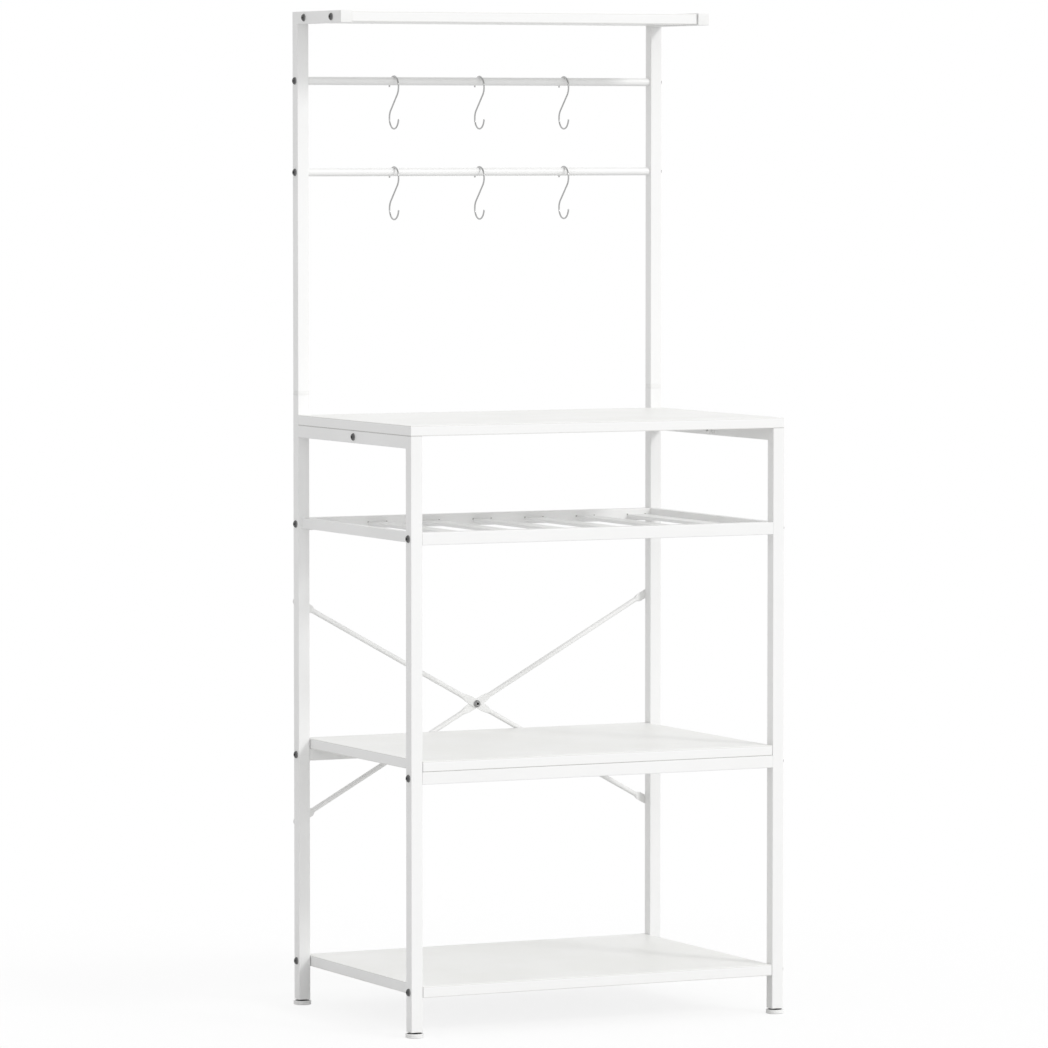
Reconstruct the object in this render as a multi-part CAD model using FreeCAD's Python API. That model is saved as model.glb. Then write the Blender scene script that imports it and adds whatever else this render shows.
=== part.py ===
"""White kitchen rack: tube side frames, four boards, a slat rack, two hook bars and a cross brace.

Lengths are in millimetres. +Z is up, +X is to the right as seen from the front, and the front faces -Y.
The origin is on the floor, under the middle of the whole rack.
"""
import FreeCAD
import Part
import math
import os

Vector = FreeCAD.Vector

# Frame tubes
frame_width = 600.0
frame_depth = 410.0
tube_side = 18.0
tube_wall = 1.2
tube_corner = 1.0
rung_width = 12.0
rung_height = 15.0

# Heights: from the floor, or from the piece that the name gives
foot_gap = 2.0
bottom_shelf_top = 73.0
bottom_bay_height = 322.0
counter_top = 873.0
rack_below_counter = 152.0
back_above_counter = 591.0
joint_above_counter = 29.0
upper_bar_below_top = 101.0
lower_bar_below_top = 235.0

# Boards
board_thickness = 15.0
bottom_board_thickness = 16.0
board_edge = 0.8
top_shelf_depth = 172.0

# Slat rack
slat_count = 7
slat_width = 30.0
slat_thickness = 4.5
slat_corner = 1.0
slat_end_gap = 9.0
slat_below_rail = 8.5

# Hook bars and hooks
bar_diameter = 12.0
bar_wall = 1.0
hooks_per_bar = 3
hook_pitch = 140.0
hook_wire = 2.4
hook_bend_radius = 16.0
hook_waist = 13.6
hook_seat_gap = 0.3

# Cross brace: round rods, pressed flat at both ends and where they cross
brace_above_shelf = 39.0
brace_rise = 322.0
brace_diameter = 7.4
brace_flat_thickness = 2.0
brace_flat_width = 12.0
brace_cross_flat = 24.0
brace_cross_taper = 16.0
brace_end_flat = 21.0
brace_end_taper = 7.0
brace_end_beyond_screw = 10.0
brace_gap = 0.3

# Plastic fittings
joint_collar = 6.0
joint_spigot = 40.0
cap_face = 3.0
cap_plug = 12.0
leg_plug_height = 22.0
leg_plug_flange = 1.5
pad_diameter = 26.0
pad_height = 6.0
pad_edge = 1.2
stud_diameter = 8.0
stud_length = 30.0

# Bolts, nuts, screws and threaded inserts
bolt_diameter = 6.0
bolt_length = 35.0
bolt_head_diameter = 11.0
bolt_head_height = 3.3
bolt_head_rim = 0.8
bolt_key = 4.0
bolt_key_depth = 2.0
nut_across_flats = 10.0
nut_height = 5.0
bolt_tail = 1.5
insert_length = 20.0
board_insert_diameter = 8.0
arm_bolt_from_rear = 42.0
arm_bolt_from_front = 33.0
screw_diameter = 4.0
screw_head_diameter = 8.0
screw_head_height = 2.4
screw_tip = 3.0
screw_bite = 10.0

# Brackets under the counter
bracket_thickness = 2.0
bracket_width = 24.0
bracket_below_bolt = 6.0
bracket_reach = 26.0
bracket_screw_from_edge = 7.0
bracket_tip_inside_nut = 1.5

# Clearances
hole_clearance = 0.2
thread_clearance = 0.05
plug_clearance = 0.05
board_clearance = 0.7
top_board_clearance = 1.0
driver_clearance = 0.6
overrun = 1.0

# Places across the width
outer_x = frame_width / 2
inner_x = outer_x - tube_side
post_x = outer_x - tube_side / 2
sides = {"left": -1, "right": 1}

# Places from front to back: the whole rack, with its feet and brace, is centred on the origin
foot_overhang = (pad_diameter - tube_side) / 2
cross_stack = brace_gap + 2 * brace_flat_thickness + nut_height + bolt_tail
end_screw_stack = brace_flat_thickness + screw_head_height
rear_overhang = max(foot_overhang, brace_gap + brace_diameter, cross_stack, end_screw_stack)
front_y = (foot_overhang - rear_overhang - frame_depth) / 2
rear_y = front_y + frame_depth
front_leg_y = front_y + tube_side / 2
rear_leg_y = rear_y - tube_side / 2
rail_front_y = front_y + tube_side
rail_rear_y = rear_y - tube_side
counter_middle_y = (front_y + rail_rear_y) / 2
arm_front_y = rear_y - top_shelf_depth

# Places up the height
frame_top = counter_top + back_above_counter
arm_z = frame_top - tube_side / 2
counter_bottom = counter_top - board_thickness
top_rail_z = counter_bottom - tube_side / 2
joint_bottom = counter_top + joint_above_counter
joint_top = joint_bottom + joint_collar
upper_bar_z = frame_top - upper_bar_below_top
lower_bar_z = frame_top - lower_bar_below_top
rack_top = counter_top - rack_below_counter
rack_rail_z = rack_top - tube_side / 2
slat_z = rack_top - slat_below_rail - slat_thickness / 2
middle_shelf_top = bottom_shelf_top + bottom_bay_height
middle_rail_top = middle_shelf_top - board_thickness
middle_rail_z = middle_rail_top - tube_side / 2
bottom_board_z = bottom_shelf_top - bottom_board_thickness / 2
cross_z = middle_shelf_top + brace_above_shelf
brace_end_heights = [cross_z - brace_rise / 2, cross_z + brace_rise / 2]
leg_end_height = pad_height + foot_gap
leg_tube_bottom = leg_end_height + leg_plug_flange

# Bolt places on each side frame, as (y, z)
front_leg_bolts = [(front_leg_y, z) for z in (rack_rail_z, middle_rail_z, bottom_board_z)]
rear_leg_bolts = [(rear_leg_y, z) for z in (rack_rail_z, middle_rail_z, bottom_board_z)]
post_bolts = [(rear_leg_y, z) for z in (upper_bar_z, lower_bar_z)]
arm_bolts = [(rear_y - arm_bolt_from_rear, arm_z), (arm_front_y + arm_bolt_from_front, arm_z)]
bracket_bolts = [(counter_middle_y, top_rail_z)]
bottom_board_bolts = [(y, bottom_board_z) for y in (front_leg_y, rear_leg_y)]
rail_ends = [(y, z) for y in (front_leg_y, rear_leg_y) for z in (rack_rail_z, middle_rail_z)]

# Turns that lay an upright shape along an axis
upright = FreeCAD.Rotation()
along_x = FreeCAD.Rotation(Vector(1, 1, 1), 120)
along_y = FreeCAD.Rotation(Vector(1, 1, 1), 240)
along_minus_x = FreeCAD.Rotation(Vector(0, 1, 0), -90)
along_minus_y = FreeCAD.Rotation(Vector(1, 0, 0), 90)


def placed(shape, position, turn=upright):
    """Copy of a shape, turned about the origin and then moved to a position."""
    return shape.transformed(FreeCAD.Placement(position, turn).toMatrix(), True)


def polar(radius, degrees):
    """Point in the XY plane at a radius and an angle."""
    angle = math.radians(degrees)
    return Vector(radius * math.cos(angle), radius * math.sin(angle), 0)


def line(start, end):
    """Straight edge between two points."""
    return Part.LineSegment(start, end).toShape()


def rounded_rectangle(width, depth, corner):
    """Wire of a rectangle with quarter-circle corners, centred on the origin in the XY plane."""
    edges = []
    arc_ends = []
    for index, (sign_x, sign_y) in enumerate([(1, 1), (-1, 1), (-1, -1), (1, -1)]):
        centre = Vector(sign_x * (width / 2 - corner), sign_y * (depth / 2 - corner), 0)
        start, middle, end = [centre + polar(corner, 90 * (index + share)) for share in (0, 0.5, 1)]
        edges.append(Part.Arc(start, middle, end).toShape())
        arc_ends.append((start, end))
    for index, (start, end) in enumerate(arc_ends):
        next_start = arc_ends[(index + 1) % len(arc_ends)][0]
        edges.append(line(end, next_start))
    return Part.Wire(Part.sortEdges(edges)[0])


def prism(wire, length):
    """Solid that carries a closed wire upwards by a length."""
    return Part.Face(wire).extrude(Vector(0, 0, length))


def box_tube(width, depth, length):
    """Upright rectangular tube with rounded corners."""
    inner_width = width - 2 * tube_wall
    inner_depth = depth - 2 * tube_wall
    inner_corner = tube_corner * inner_width / width
    bore = prism(rounded_rectangle(inner_width, inner_depth, inner_corner), length)
    return prism(rounded_rectangle(width, depth, tube_corner), length).cut(bore)


def square_tube(length):
    """Upright square frame tube."""
    return box_tube(tube_side, tube_side, length)


def turned(stretches):
    """Solid turned about Z from stretches of (radius, height) points: two make a line, three an arc."""
    edges = []
    for stretch in stretches:
        points = [Vector(radius, 0, height) for radius, height in stretch]
        is_arc = len(points) == 3
        edges.append(Part.Arc(*points).toShape() if is_arc else line(*points))
    return Part.Face(Part.Wire(edges)).revolve(Vector(), Vector(0, 0, 1), 360)


def outline(points):
    """Pairs of neighbouring points that close a straight-sided outline."""
    return list(zip(points, points[1:] + points[:1]))


def hexagon(across_flats, height):
    """Upright six-sided prism."""
    corner = across_flats / 2 / math.cos(math.pi / 6)
    corners = [polar(corner, 60 * index) for index in range(7)]
    return prism(Part.makePolygon(corners), height)


def bolt(shank_length):
    """Button-head bolt that points up, with its head's seat at the origin."""
    head_radius = bolt_head_diameter / 2
    flat_radius = bolt_key / 2 + bolt_head_rim
    dome_radius = (head_radius + flat_radius) / 2
    dome_height = bolt_head_rim + (bolt_head_height - bolt_head_rim) * math.sqrt(0.5)
    head = turned([
        ((0, 0), (head_radius, 0)),
        ((head_radius, 0), (head_radius, -bolt_head_rim)),
        ((head_radius, -bolt_head_rim), (dome_radius, -dome_height), (flat_radius, -bolt_head_height)),
        ((flat_radius, -bolt_head_height), (0, -bolt_head_height)),
        ((0, -bolt_head_height), (0, 0)),
    ])
    socket = placed(hexagon(bolt_key, bolt_key_depth), Vector(0, 0, -bolt_head_height))
    shank = Part.makeCylinder(bolt_diameter / 2, shank_length)
    return head.cut(socket).fuse(shank).removeSplitter()


def nut():
    """Hexagon nut, upright, with its seat at the origin."""
    bore = Part.makeCylinder(bolt_diameter / 2 + thread_clearance, nut_height)
    return hexagon(nut_across_flats, nut_height).cut(bore)


def screw(shank_length):
    """Pan-head screw that points up, with its head's seat at the origin."""
    shank = screw_diameter / 2
    head = screw_head_diameter / 2
    top = head - screw_head_height / 2
    return turned(outline([
        (0, -screw_head_height),
        (top, -screw_head_height),
        (head, -screw_head_height / 2),
        (head, 0),
        (shank, 0),
        (shank, shank_length - screw_tip),
        (0, shank_length),
    ]))


def cross_holes(side, places):
    """Bolt holes along X through a side frame at the given (y, z) places."""
    drill = Part.makeCylinder(bolt_diameter / 2 + hole_clearance, tube_side + 2 * overrun)
    start_x = min(side * outer_x, side * inner_x) - overrun
    return [placed(drill, Vector(start_x, y, z), along_x) for y, z in places]


def mitre_block(side, corner_y, corner_z, inwards, upright_tube):
    """Three-sided block for a 45 degree mitre at a side frame's outer corner, to cut from one of two tubes.

    The mitre runs from the corner down and inwards, where inwards is +1 for +Y and -1 for -Y. The block lies
    above the mitre for an upright tube, and below it for a level one.
    """
    reach = tube_side + overrun
    third = (reach, overrun) if upright_tube else (-overrun, -reach)
    points = [(-overrun, overrun), (reach, -reach), third]
    low_x = side * post_x - reach
    corners = [Vector(low_x, corner_y + inwards * y, corner_z + z) for y, z in points]
    return Part.Face(Part.makePolygon(corners + corners[:1])).extrude(Vector(2 * reach, 0, 0))


def front_leg(side):
    """Front leg, mitred at its top to the top rail."""
    tube = square_tube(counter_bottom - leg_tube_bottom)
    leg = placed(tube, Vector(side * post_x, front_leg_y, leg_tube_bottom))
    mitre = mitre_block(side, front_y, counter_bottom, 1, True)
    return leg.cut(cross_holes(side, front_leg_bolts) + [mitre])


def top_rail(side):
    """Rail under the counter's end, from the front leg's mitre to the rear leg's front face."""
    rail = placed(square_tube(rail_rear_y - front_y), Vector(side * post_x, front_y, top_rail_z), along_y)
    mitre = mitre_block(side, front_y, counter_bottom, 1, False)
    return rail.cut(cross_holes(side, bracket_bolts) + [mitre])


def rear_leg(side):
    """Rear leg, up to the joint above the counter, with screw holes for the brace in its rear wall."""
    tube = square_tube(joint_bottom - leg_tube_bottom)
    leg = placed(tube, Vector(side * post_x, rear_leg_y, leg_tube_bottom))
    drill = Part.makeCylinder(screw_diameter / 2 + thread_clearance, tube_side / 2)
    starts = [Vector(side * post_x, rear_y + overrun, z) for z in brace_end_heights]
    brace_holes = [placed(drill, start, along_minus_y) for start in starts]
    return leg.cut(cross_holes(side, rear_leg_bolts) + brace_holes)


def rack_rung(side):
    """Light tube between front and rear leg at the slat rack's height, flush with their inner faces."""
    rung = box_tube(rung_height, rung_width, rail_rear_y - rail_front_y)
    start = Vector(side * (inner_x + rung_width / 2), rail_front_y, rack_top - rung_height / 2)
    return placed(rung, start, along_y)


def upper_post(side):
    """Post above the counter, mitred at its top to the arm."""
    post = placed(square_tube(frame_top - joint_top), Vector(side * post_x, rear_leg_y, joint_top))
    mitre = mitre_block(side, rear_y, frame_top, -1, True)
    return post.cut(cross_holes(side, post_bolts) + [mitre])


def top_arm(side):
    """Arm that runs forwards from the post and holds the top shelf's end."""
    start_y = arm_front_y + cap_face
    arm = placed(square_tube(rear_y - start_y), Vector(side * post_x, start_y, arm_z), along_y)
    mitre = mitre_block(side, rear_y, frame_top, -1, False)
    return arm.cut(cross_holes(side, arm_bolts) + [mitre])


def tube_plug(length):
    """Upright square plug that fits inside a frame tube."""
    inner = tube_side - 2 * tube_wall
    plug_side = inner - 2 * plug_clearance
    corner = tube_corner * inner / tube_side
    return prism(rounded_rectangle(plug_side, plug_side, corner), length)


def tube_end_plate(thickness):
    """Upright plate with the frame tube's outline."""
    return prism(rounded_rectangle(tube_side, tube_side, tube_corner), thickness)


def arm_cap(side):
    """Plastic cap in the front end of an arm."""
    plug = placed(tube_plug(cap_plug), Vector(0, 0, cap_face))
    return placed(tube_end_plate(cap_face).fuse(plug), Vector(side * post_x, arm_front_y, arm_z), along_y)


def post_connector(side):
    """Plastic joint between rear leg and upper post: a collar with a spigot into each tube."""
    collar = placed(tube_end_plate(joint_collar), Vector(0, 0, joint_spigot))
    spigots = tube_plug(2 * joint_spigot + joint_collar)
    return placed(spigots.fuse(collar), Vector(side * post_x, rear_leg_y, joint_bottom - joint_spigot))


def leg_plug():
    """Plastic plug for a leg's lower end, with a foot's threaded hole; its flange's underside is at zero."""
    body = tube_end_plate(leg_plug_flange).fuse(tube_plug(leg_plug_flange + leg_plug_height))
    bore = Part.makeCylinder(stud_diameter / 2 + thread_clearance, leg_plug_flange + leg_plug_height)
    return body.cut(bore)


def foot():
    """Levelling foot: a round pad on a threaded stud, standing on zero."""
    pad = pad_diameter / 2
    stud = stud_diameter / 2
    return turned(outline([
        (0, 0),
        (pad - pad_edge / 2, 0),
        (pad, pad_edge / 2),
        (pad, pad_height - pad_edge),
        (pad - pad_edge, pad_height),
        (stud, pad_height),
        (stud, pad_height + stud_length - pad_edge),
        (stud - pad_edge, pad_height + stud_length),
        (0, pad_height + stud_length),
    ]))


def board(low, high):
    """Board between two corners, with eased edges."""
    size = high - low
    slab = Part.makeBox(size.x, size.y, size.z, low)
    return slab.makeFillet(board_edge, slab.Edges)


def board_end_holes(places, end_x):
    """Pockets in both ends of a board for threaded inserts, with room beyond for the bolts' tips."""
    holes = []
    tip_depth = bolt_length - tube_side + overrun
    for side in sides.values():
        turn = along_minus_x if side > 0 else along_x
        for y, z in places:
            position = Vector(side * end_x, y, z)
            pocket = Part.makeCylinder(board_insert_diameter / 2 + plug_clearance, insert_length)
            tip = Part.makeCylinder(bolt_diameter / 2 + hole_clearance, tip_depth)
            holes.append(placed(pocket.fuse(tip), position, turn))
    return holes


def counter_board():
    """Counter on the side frames' top rails, in front of the rear legs, drilled for its bracket screws."""
    slab = board(Vector(-outer_x, front_y, counter_bottom), Vector(outer_x, rail_rear_y, counter_top))
    return slab.cut(screw_holes(bracket_screw_places(), counter_bottom))


def middle_board():
    """Middle shelf between the side frames, on its front and rear rails."""
    end_x = inner_x - board_clearance
    slab = board(Vector(-end_x, front_y, middle_rail_top), Vector(end_x, rear_y, middle_shelf_top))
    return slab.cut(screw_holes(middle_screw_places(), middle_rail_top))


def bottom_board():
    """Bottom shelf, bolted through the legs into its ends."""
    end_x = inner_x - board_clearance
    low = Vector(-end_x, front_y, bottom_shelf_top - bottom_board_thickness)
    slab = board(low, Vector(end_x, rear_y, bottom_shelf_top))
    return slab.cut(board_end_holes(bottom_board_bolts, end_x))


def top_board():
    """Top shelf between the arms, level with their middle and as deep as their tubes."""
    end_x = inner_x - top_board_clearance
    low = Vector(-end_x, arm_front_y + cap_face, arm_z - board_thickness / 2)
    slab = board(low, Vector(end_x, rear_y, arm_z + board_thickness / 2))
    return slab.cut(board_end_holes(arm_bolts, end_x))


def cross_rail(y, z):
    """Square tube across the rack between the side frames."""
    return placed(square_tube(2 * inner_x), Vector(-inner_x, y, z), along_x)


def middle_rail(y):
    """Rail under the middle shelf: screw holes in its upper wall, and wider ones below for the driver."""
    rail = cross_rail(y, middle_rail_z)
    drill = Part.makeCylinder(screw_diameter / 2 + hole_clearance, tube_side / 2 + overrun)
    access = Part.makeCylinder(screw_head_diameter / 2 + driver_clearance, tube_side / 2 + overrun)
    places = [place for place in middle_screw_places() if place[1] == y]
    access_z = middle_rail_z - tube_side / 2 - overrun
    upper_holes = [placed(drill, Vector(x, y, middle_rail_z)) for x, y in places]
    return rail.cut(upper_holes + [placed(access, Vector(x, y, access_z)) for x, y in places])


def rack_slat(index):
    """One flat slat of the rack, from the front rail to the rear rail."""
    first_x = -inner_x + slat_end_gap + slat_width / 2
    pitch = -2 * first_x / (slat_count - 1)
    flat = prism(rounded_rectangle(slat_thickness, slat_width, slat_corner), rail_rear_y - rail_front_y)
    return placed(flat, Vector(first_x + index * pitch, rail_front_y, slat_z), along_y)


def hook_bar(z):
    """Round tube between the upper posts."""
    bore = Part.makeCylinder(bar_diameter / 2 - bar_wall, 2 * inner_x)
    tube = Part.makeCylinder(bar_diameter / 2, 2 * inner_x).cut(bore)
    return placed(tube, Vector(-inner_x, rear_leg_y, z), along_x)


def hook(x, bar_z):
    """S-hook of bent wire that hangs on a bar: two equal bends joined by their inner tangent.

    In the hook's own plane, u points forwards and v up, from the middle of the S. The bends' centres are
    a half span above and below that middle, and the upper bend's top hangs on the bar.
    """
    bend = hook_bend_radius
    half_span = bend + hook_waist / 2
    lean = math.degrees(math.asin(bend / half_span))
    middle_z = bar_z + bar_diameter / 2 + hook_seat_gap + hook_wire / 2 - bend - half_span
    middle = Vector(x, rear_leg_y, middle_z)

    def point(sign, degrees):
        """Point on the upper bend at an angle from the front, or its opposite on the lower bend for -1."""
        on_bend = Vector(0, half_span, 0) + polar(bend, degrees)
        return middle + Vector(0, -sign * on_bend.x, sign * on_bend.y)

    tail = 180
    tangent = -lean
    upper = Part.Arc(point(1, tail), point(1, (tail + tangent) / 2), point(1, tangent)).toShape()
    shank = line(point(1, tangent), point(-1, tangent))
    lower = Part.Arc(point(-1, tangent), point(-1, (tail + tangent) / 2), point(-1, tail)).toShape()
    start = point(1, tail)
    section = Part.Wire(Part.makeCircle(hook_wire / 2, start, Vector(0, 0, 1)))
    return Part.Wire([upper, shank, lower]).makePipeShell([section], True, False)


def flat_oval(width, thickness, offset, station):
    """Section of a brace rod: a round-sided flat, or a circle where width equals thickness.

    The section stands across the rod at a station along it, with its middle at an offset behind the legs.
    """
    half = thickness / 2
    straight = (width - thickness) / 2
    reach = half * math.sqrt(0.5)
    shoulder = straight + reach
    rise = half if straight > 0 else reach
    waist = straight if straight > 0 else shoulder
    corners = [(waist, rise), (-waist, rise), (-waist, -rise), (waist, -rise)]
    middles = [(0, half), (-straight - half, 0), (0, -half), (straight + half, 0)]
    edges = []
    for index, (across, deep) in enumerate(corners):
        next_across, next_deep = corners[(index + 1) % 4]
        start, middle, end = [Vector(station, offset + d, a) for a, d in
                              ((across, deep), middles[index], (next_across, next_deep))]
        is_flat_side = straight > 0 and index % 2 == 0
        edges.append(line(start, end) if is_flat_side else Part.Arc(start, middle, end).toShape())
    return Part.Wire(edges)


def brace(slope, cross_offset):
    """Brace rod from low on one rear leg to high on the other; slope is +1 where it rises to +X."""
    screw_station = math.hypot(post_x, brace_rise / 2)
    eye_station = screw_station + brace_end_beyond_screw - brace_flat_width / 2
    end_offset = brace_flat_thickness / 2
    rod_offset = brace_gap + brace_diameter / 2
    flat_end = screw_station - brace_end_flat
    cross_half = brace_cross_flat / 2
    flat = (brace_flat_width, brace_flat_thickness)
    rod = (brace_diameter, brace_diameter)
    half = [
        (flat, cross_offset, cross_half),
        (rod, rod_offset, cross_half + brace_cross_taper),
        (rod, rod_offset, flat_end - brace_end_taper),
        (flat, end_offset, flat_end),
        (flat, end_offset, eye_station),
    ]
    stations = [(size, offset, -station) for size, offset, station in reversed(half)] + half
    sections = [flat_oval(*size, offset, station) for size, offset, station in stations]
    rod_body = Part.makeLoft(sections, True, True)
    eye = Part.makeCylinder(brace_flat_width / 2, brace_flat_thickness)
    eyes = [placed(eye, Vector(end * eye_station, 0, 0), along_y) for end in (-1, 1)]
    end_drill = Part.makeCylinder(screw_diameter / 2 + hole_clearance, brace_diameter)
    cross_drill = Part.makeCylinder(bolt_diameter / 2 + hole_clearance, brace_diameter)
    holes = [placed(end_drill, Vector(end * screw_station, 0, 0), along_y) for end in (-1, 1)]
    holes.append(placed(cross_drill, Vector(), along_y))
    lean = math.degrees(math.atan2(slope * brace_rise / 2, post_x))
    turn = FreeCAD.Rotation(Vector(0, 1, 0), -lean)
    return placed(rod_body.fuse(eyes).cut(holes), Vector(0, rear_y, cross_z), turn)


def brace_end_screws():
    """Screws through the brace's ends into the rear legs."""
    one = screw(brace_flat_thickness + screw_bite)
    seat_y = rear_y + brace_flat_thickness
    seats = [Vector(side * post_x, seat_y, z) for side in sides.values() for z in brace_end_heights]
    return [placed(one, seat, along_minus_y) for seat in seats]


def cross_bolt():
    """Bolt through both rods where they cross, with its head to the front."""
    length = 2 * brace_flat_thickness + nut_height + bolt_tail
    return placed(bolt(length), Vector(0, rear_y + brace_gap, cross_z), along_y)


def cross_nut():
    """Nut on the crossing bolt, behind the rods."""
    seat = Vector(0, rear_y + brace_gap + 2 * brace_flat_thickness, cross_z)
    return placed(nut(), seat, along_y)


def at_both_sides(one, places, seat_x):
    """Copies of an upright piece at the given (y, z) places on both sides, pointing to the rack's middle."""
    left = [placed(one, Vector(-seat_x, y, z), along_x) for y, z in places]
    right = [placed(one, Vector(seat_x, y, z), along_minus_x) for y, z in places]
    return left + right


def threaded(plug):
    """Plug with the bolt's threaded hole through it."""
    return plug.cut(Part.makeCylinder(bolt_diameter / 2 + thread_clearance, insert_length))


def round_plug(diameter):
    """Upright round insert body."""
    return Part.makeCylinder(diameter / 2, insert_length)


def bracket_screw_places():
    """(x, y) places of the screws that hold the counter to its brackets."""
    x = inner_x - bracket_reach + bracket_screw_from_edge
    y_step = bracket_width / 2 - bracket_screw_from_edge
    return [(side * x, counter_middle_y + end * y_step) for side in sides.values() for end in (-1, 1)]


def middle_screw_places():
    """(x, y) places of the screws that go up from inside the middle rails into the board."""
    return [(side * inner_x / 2, y) for side in sides.values() for y in (front_leg_y, rear_leg_y)]


def screw_holes(places, start_z):
    """Pilot holes upwards into a board, for the screws' bite."""
    drill = Part.makeCylinder(screw_diameter / 2 + thread_clearance, screw_bite + overrun)
    return [placed(drill, Vector(x, y, start_z)) for x, y in places]


def counter_bracket(side):
    """Angle bracket between a top rail's inner face and the counter's underside."""
    low_y = counter_middle_y - bracket_width / 2
    leaf_x = min(side * inner_x, side * (inner_x - bracket_thickness))
    shelf_x = min(side * inner_x, side * (inner_x - bracket_reach))
    leaf_bottom = top_rail_z - bracket_below_bolt
    shelf_bottom = counter_bottom - bracket_thickness
    leaf = Part.makeBox(bracket_thickness, bracket_width, counter_bottom - leaf_bottom,
                        Vector(leaf_x, low_y, leaf_bottom))
    shelf = Part.makeBox(bracket_reach, bracket_width, bracket_thickness,
                         Vector(shelf_x, low_y, shelf_bottom))
    drill = Part.makeCylinder(screw_diameter / 2 + hole_clearance, bracket_thickness + 2 * overrun)
    holes = [placed(drill, Vector(x, y, shelf_bottom - overrun)) for x, y in bracket_screw_places()]
    bolt_drill = Part.makeCylinder(bolt_diameter / 2 + hole_clearance, bracket_thickness + 2 * overrun)
    bolt_holes = [placed(bolt_drill, Vector(leaf_x - overrun, y, z), along_x) for y, z in bracket_bolts]
    return leaf.fuse(shelf).removeSplitter().cut(holes + bolt_holes)


def upward(one, places, seat_z):
    """Copies of an upright piece at the given (x, y) places."""
    return [placed(one, Vector(x, y, seat_z)) for x, y in places]


def write(node, *solids):
    """Write one node, of one solid or a group of separate solids."""
    shape = solids[0] if len(solids) == 1 else Part.makeCompound(solids)
    shape.exportStep("parts/" + node + ".step")


def write_side_frames():
    """Tubes and fittings of the left and right side frames."""
    for name, side in sides.items():
        write(name + "_front_leg", front_leg(side))
        write(name + "_rear_leg", rear_leg(side))
        write(name + "_top_rail", top_rail(side))
        write(name + "_rack_rung", rack_rung(side))
        write(name + "_upper_post", upper_post(side))
        write(name + "_top_arm", top_arm(side))
        write(name + "_arm_cap", arm_cap(side))
        write(name + "_post_connector", post_connector(side))
        write(name + "_counter_bracket", counter_bracket(side))


def write_shelves():
    """Boards, the rails that carry them, and the slat rack."""
    write("counter_board", counter_board())
    write("middle_shelf_board", middle_board())
    write("bottom_shelf_board", bottom_board())
    write("top_shelf_board", top_board())
    for name, y in {"front": front_leg_y, "rear": rear_leg_y}.items():
        write("middle_shelf_" + name + "_rail", middle_rail(y))
        write("rack_" + name + "_rail", cross_rail(y, rack_rail_z))
    for index in range(slat_count):
        write("rack_slat_" + str(index + 1), rack_slat(index))


def write_hook_bars():
    """Hook bars and the hooks that hang on them."""
    for name, z in {"upper": upper_bar_z, "lower": lower_bar_z}.items():
        write(name + "_hook_bar", hook_bar(z))
        for index in range(hooks_per_bar):
            x = (index - (hooks_per_bar - 1) / 2) * hook_pitch
            write(name + "_hook_" + str(index + 1), hook(x, z))


def write_cross_brace():
    """Crossed rods behind the rear legs, and what holds them."""
    front_flat = brace_gap + brace_flat_thickness / 2
    write("brace_rising_left", brace(-1, front_flat))
    write("brace_rising_right", brace(1, front_flat + brace_flat_thickness))
    write("brace_end_screws", *brace_end_screws())
    write("brace_cross_bolt", cross_bolt())
    write("brace_cross_nut", cross_nut())


def write_feet():
    """Leg plugs and levelling feet."""
    plugs = []
    for name, side in sides.items():
        for end, y in {"front": front_leg_y, "rear": rear_leg_y}.items():
            plugs.append(placed(leg_plug(), Vector(side * post_x, y, leg_end_height)))
            write(name + "_" + end + "_foot", placed(foot(), Vector(side * post_x, y, 0)))
    write("leg_plugs", *plugs)


def write_fasteners():
    """Bolts, inserts, nuts and screws, each kind as a group."""
    frame_bolts = front_leg_bolts + rear_leg_bolts + post_bolts + arm_bolts
    write("frame_bolts", *at_both_sides(bolt(bolt_length), frame_bolts, outer_x))
    rail_insert = threaded(tube_plug(insert_length))
    write("rail_end_inserts", *at_both_sides(rail_insert, rail_ends, inner_x))
    bar_insert = threaded(round_plug(bar_diameter - 2 * bar_wall - 2 * plug_clearance))
    write("bar_end_inserts", *at_both_sides(bar_insert, post_bolts, inner_x))
    board_insert = threaded(round_plug(board_insert_diameter))
    bottom_inserts = at_both_sides(board_insert, bottom_board_bolts, inner_x - board_clearance)
    top_inserts = at_both_sides(board_insert, arm_bolts, inner_x - top_board_clearance)
    write("board_inserts", *bottom_inserts, *top_inserts)
    bracket_bolt = bolt(tube_side + bracket_thickness + nut_height - bracket_tip_inside_nut)
    write("counter_bracket_bolts", *at_both_sides(bracket_bolt, bracket_bolts, outer_x))
    nut_seat_x = inner_x - bracket_thickness
    write("counter_bracket_nuts", *at_both_sides(nut(), bracket_bolts, nut_seat_x))
    bracket_screw = screw(bracket_thickness + screw_bite)
    bracket_seat = counter_bottom - bracket_thickness
    write("counter_bracket_screws", *upward(bracket_screw, bracket_screw_places(), bracket_seat))
    shelf_screw = screw(tube_wall + screw_bite)
    rail_seat = middle_rail_top - tube_wall
    write("middle_shelf_screws", *upward(shelf_screw, middle_screw_places(), rail_seat))


os.makedirs("parts", exist_ok=True)
write_side_frames()
write_shelves()
write_hook_bars()
write_cross_brace()
write_feet()
write_fasteners()
print("overall", frame_width + 2 * foot_overhang, frame_depth + foot_overhang + rear_overhang, frame_top)
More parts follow.
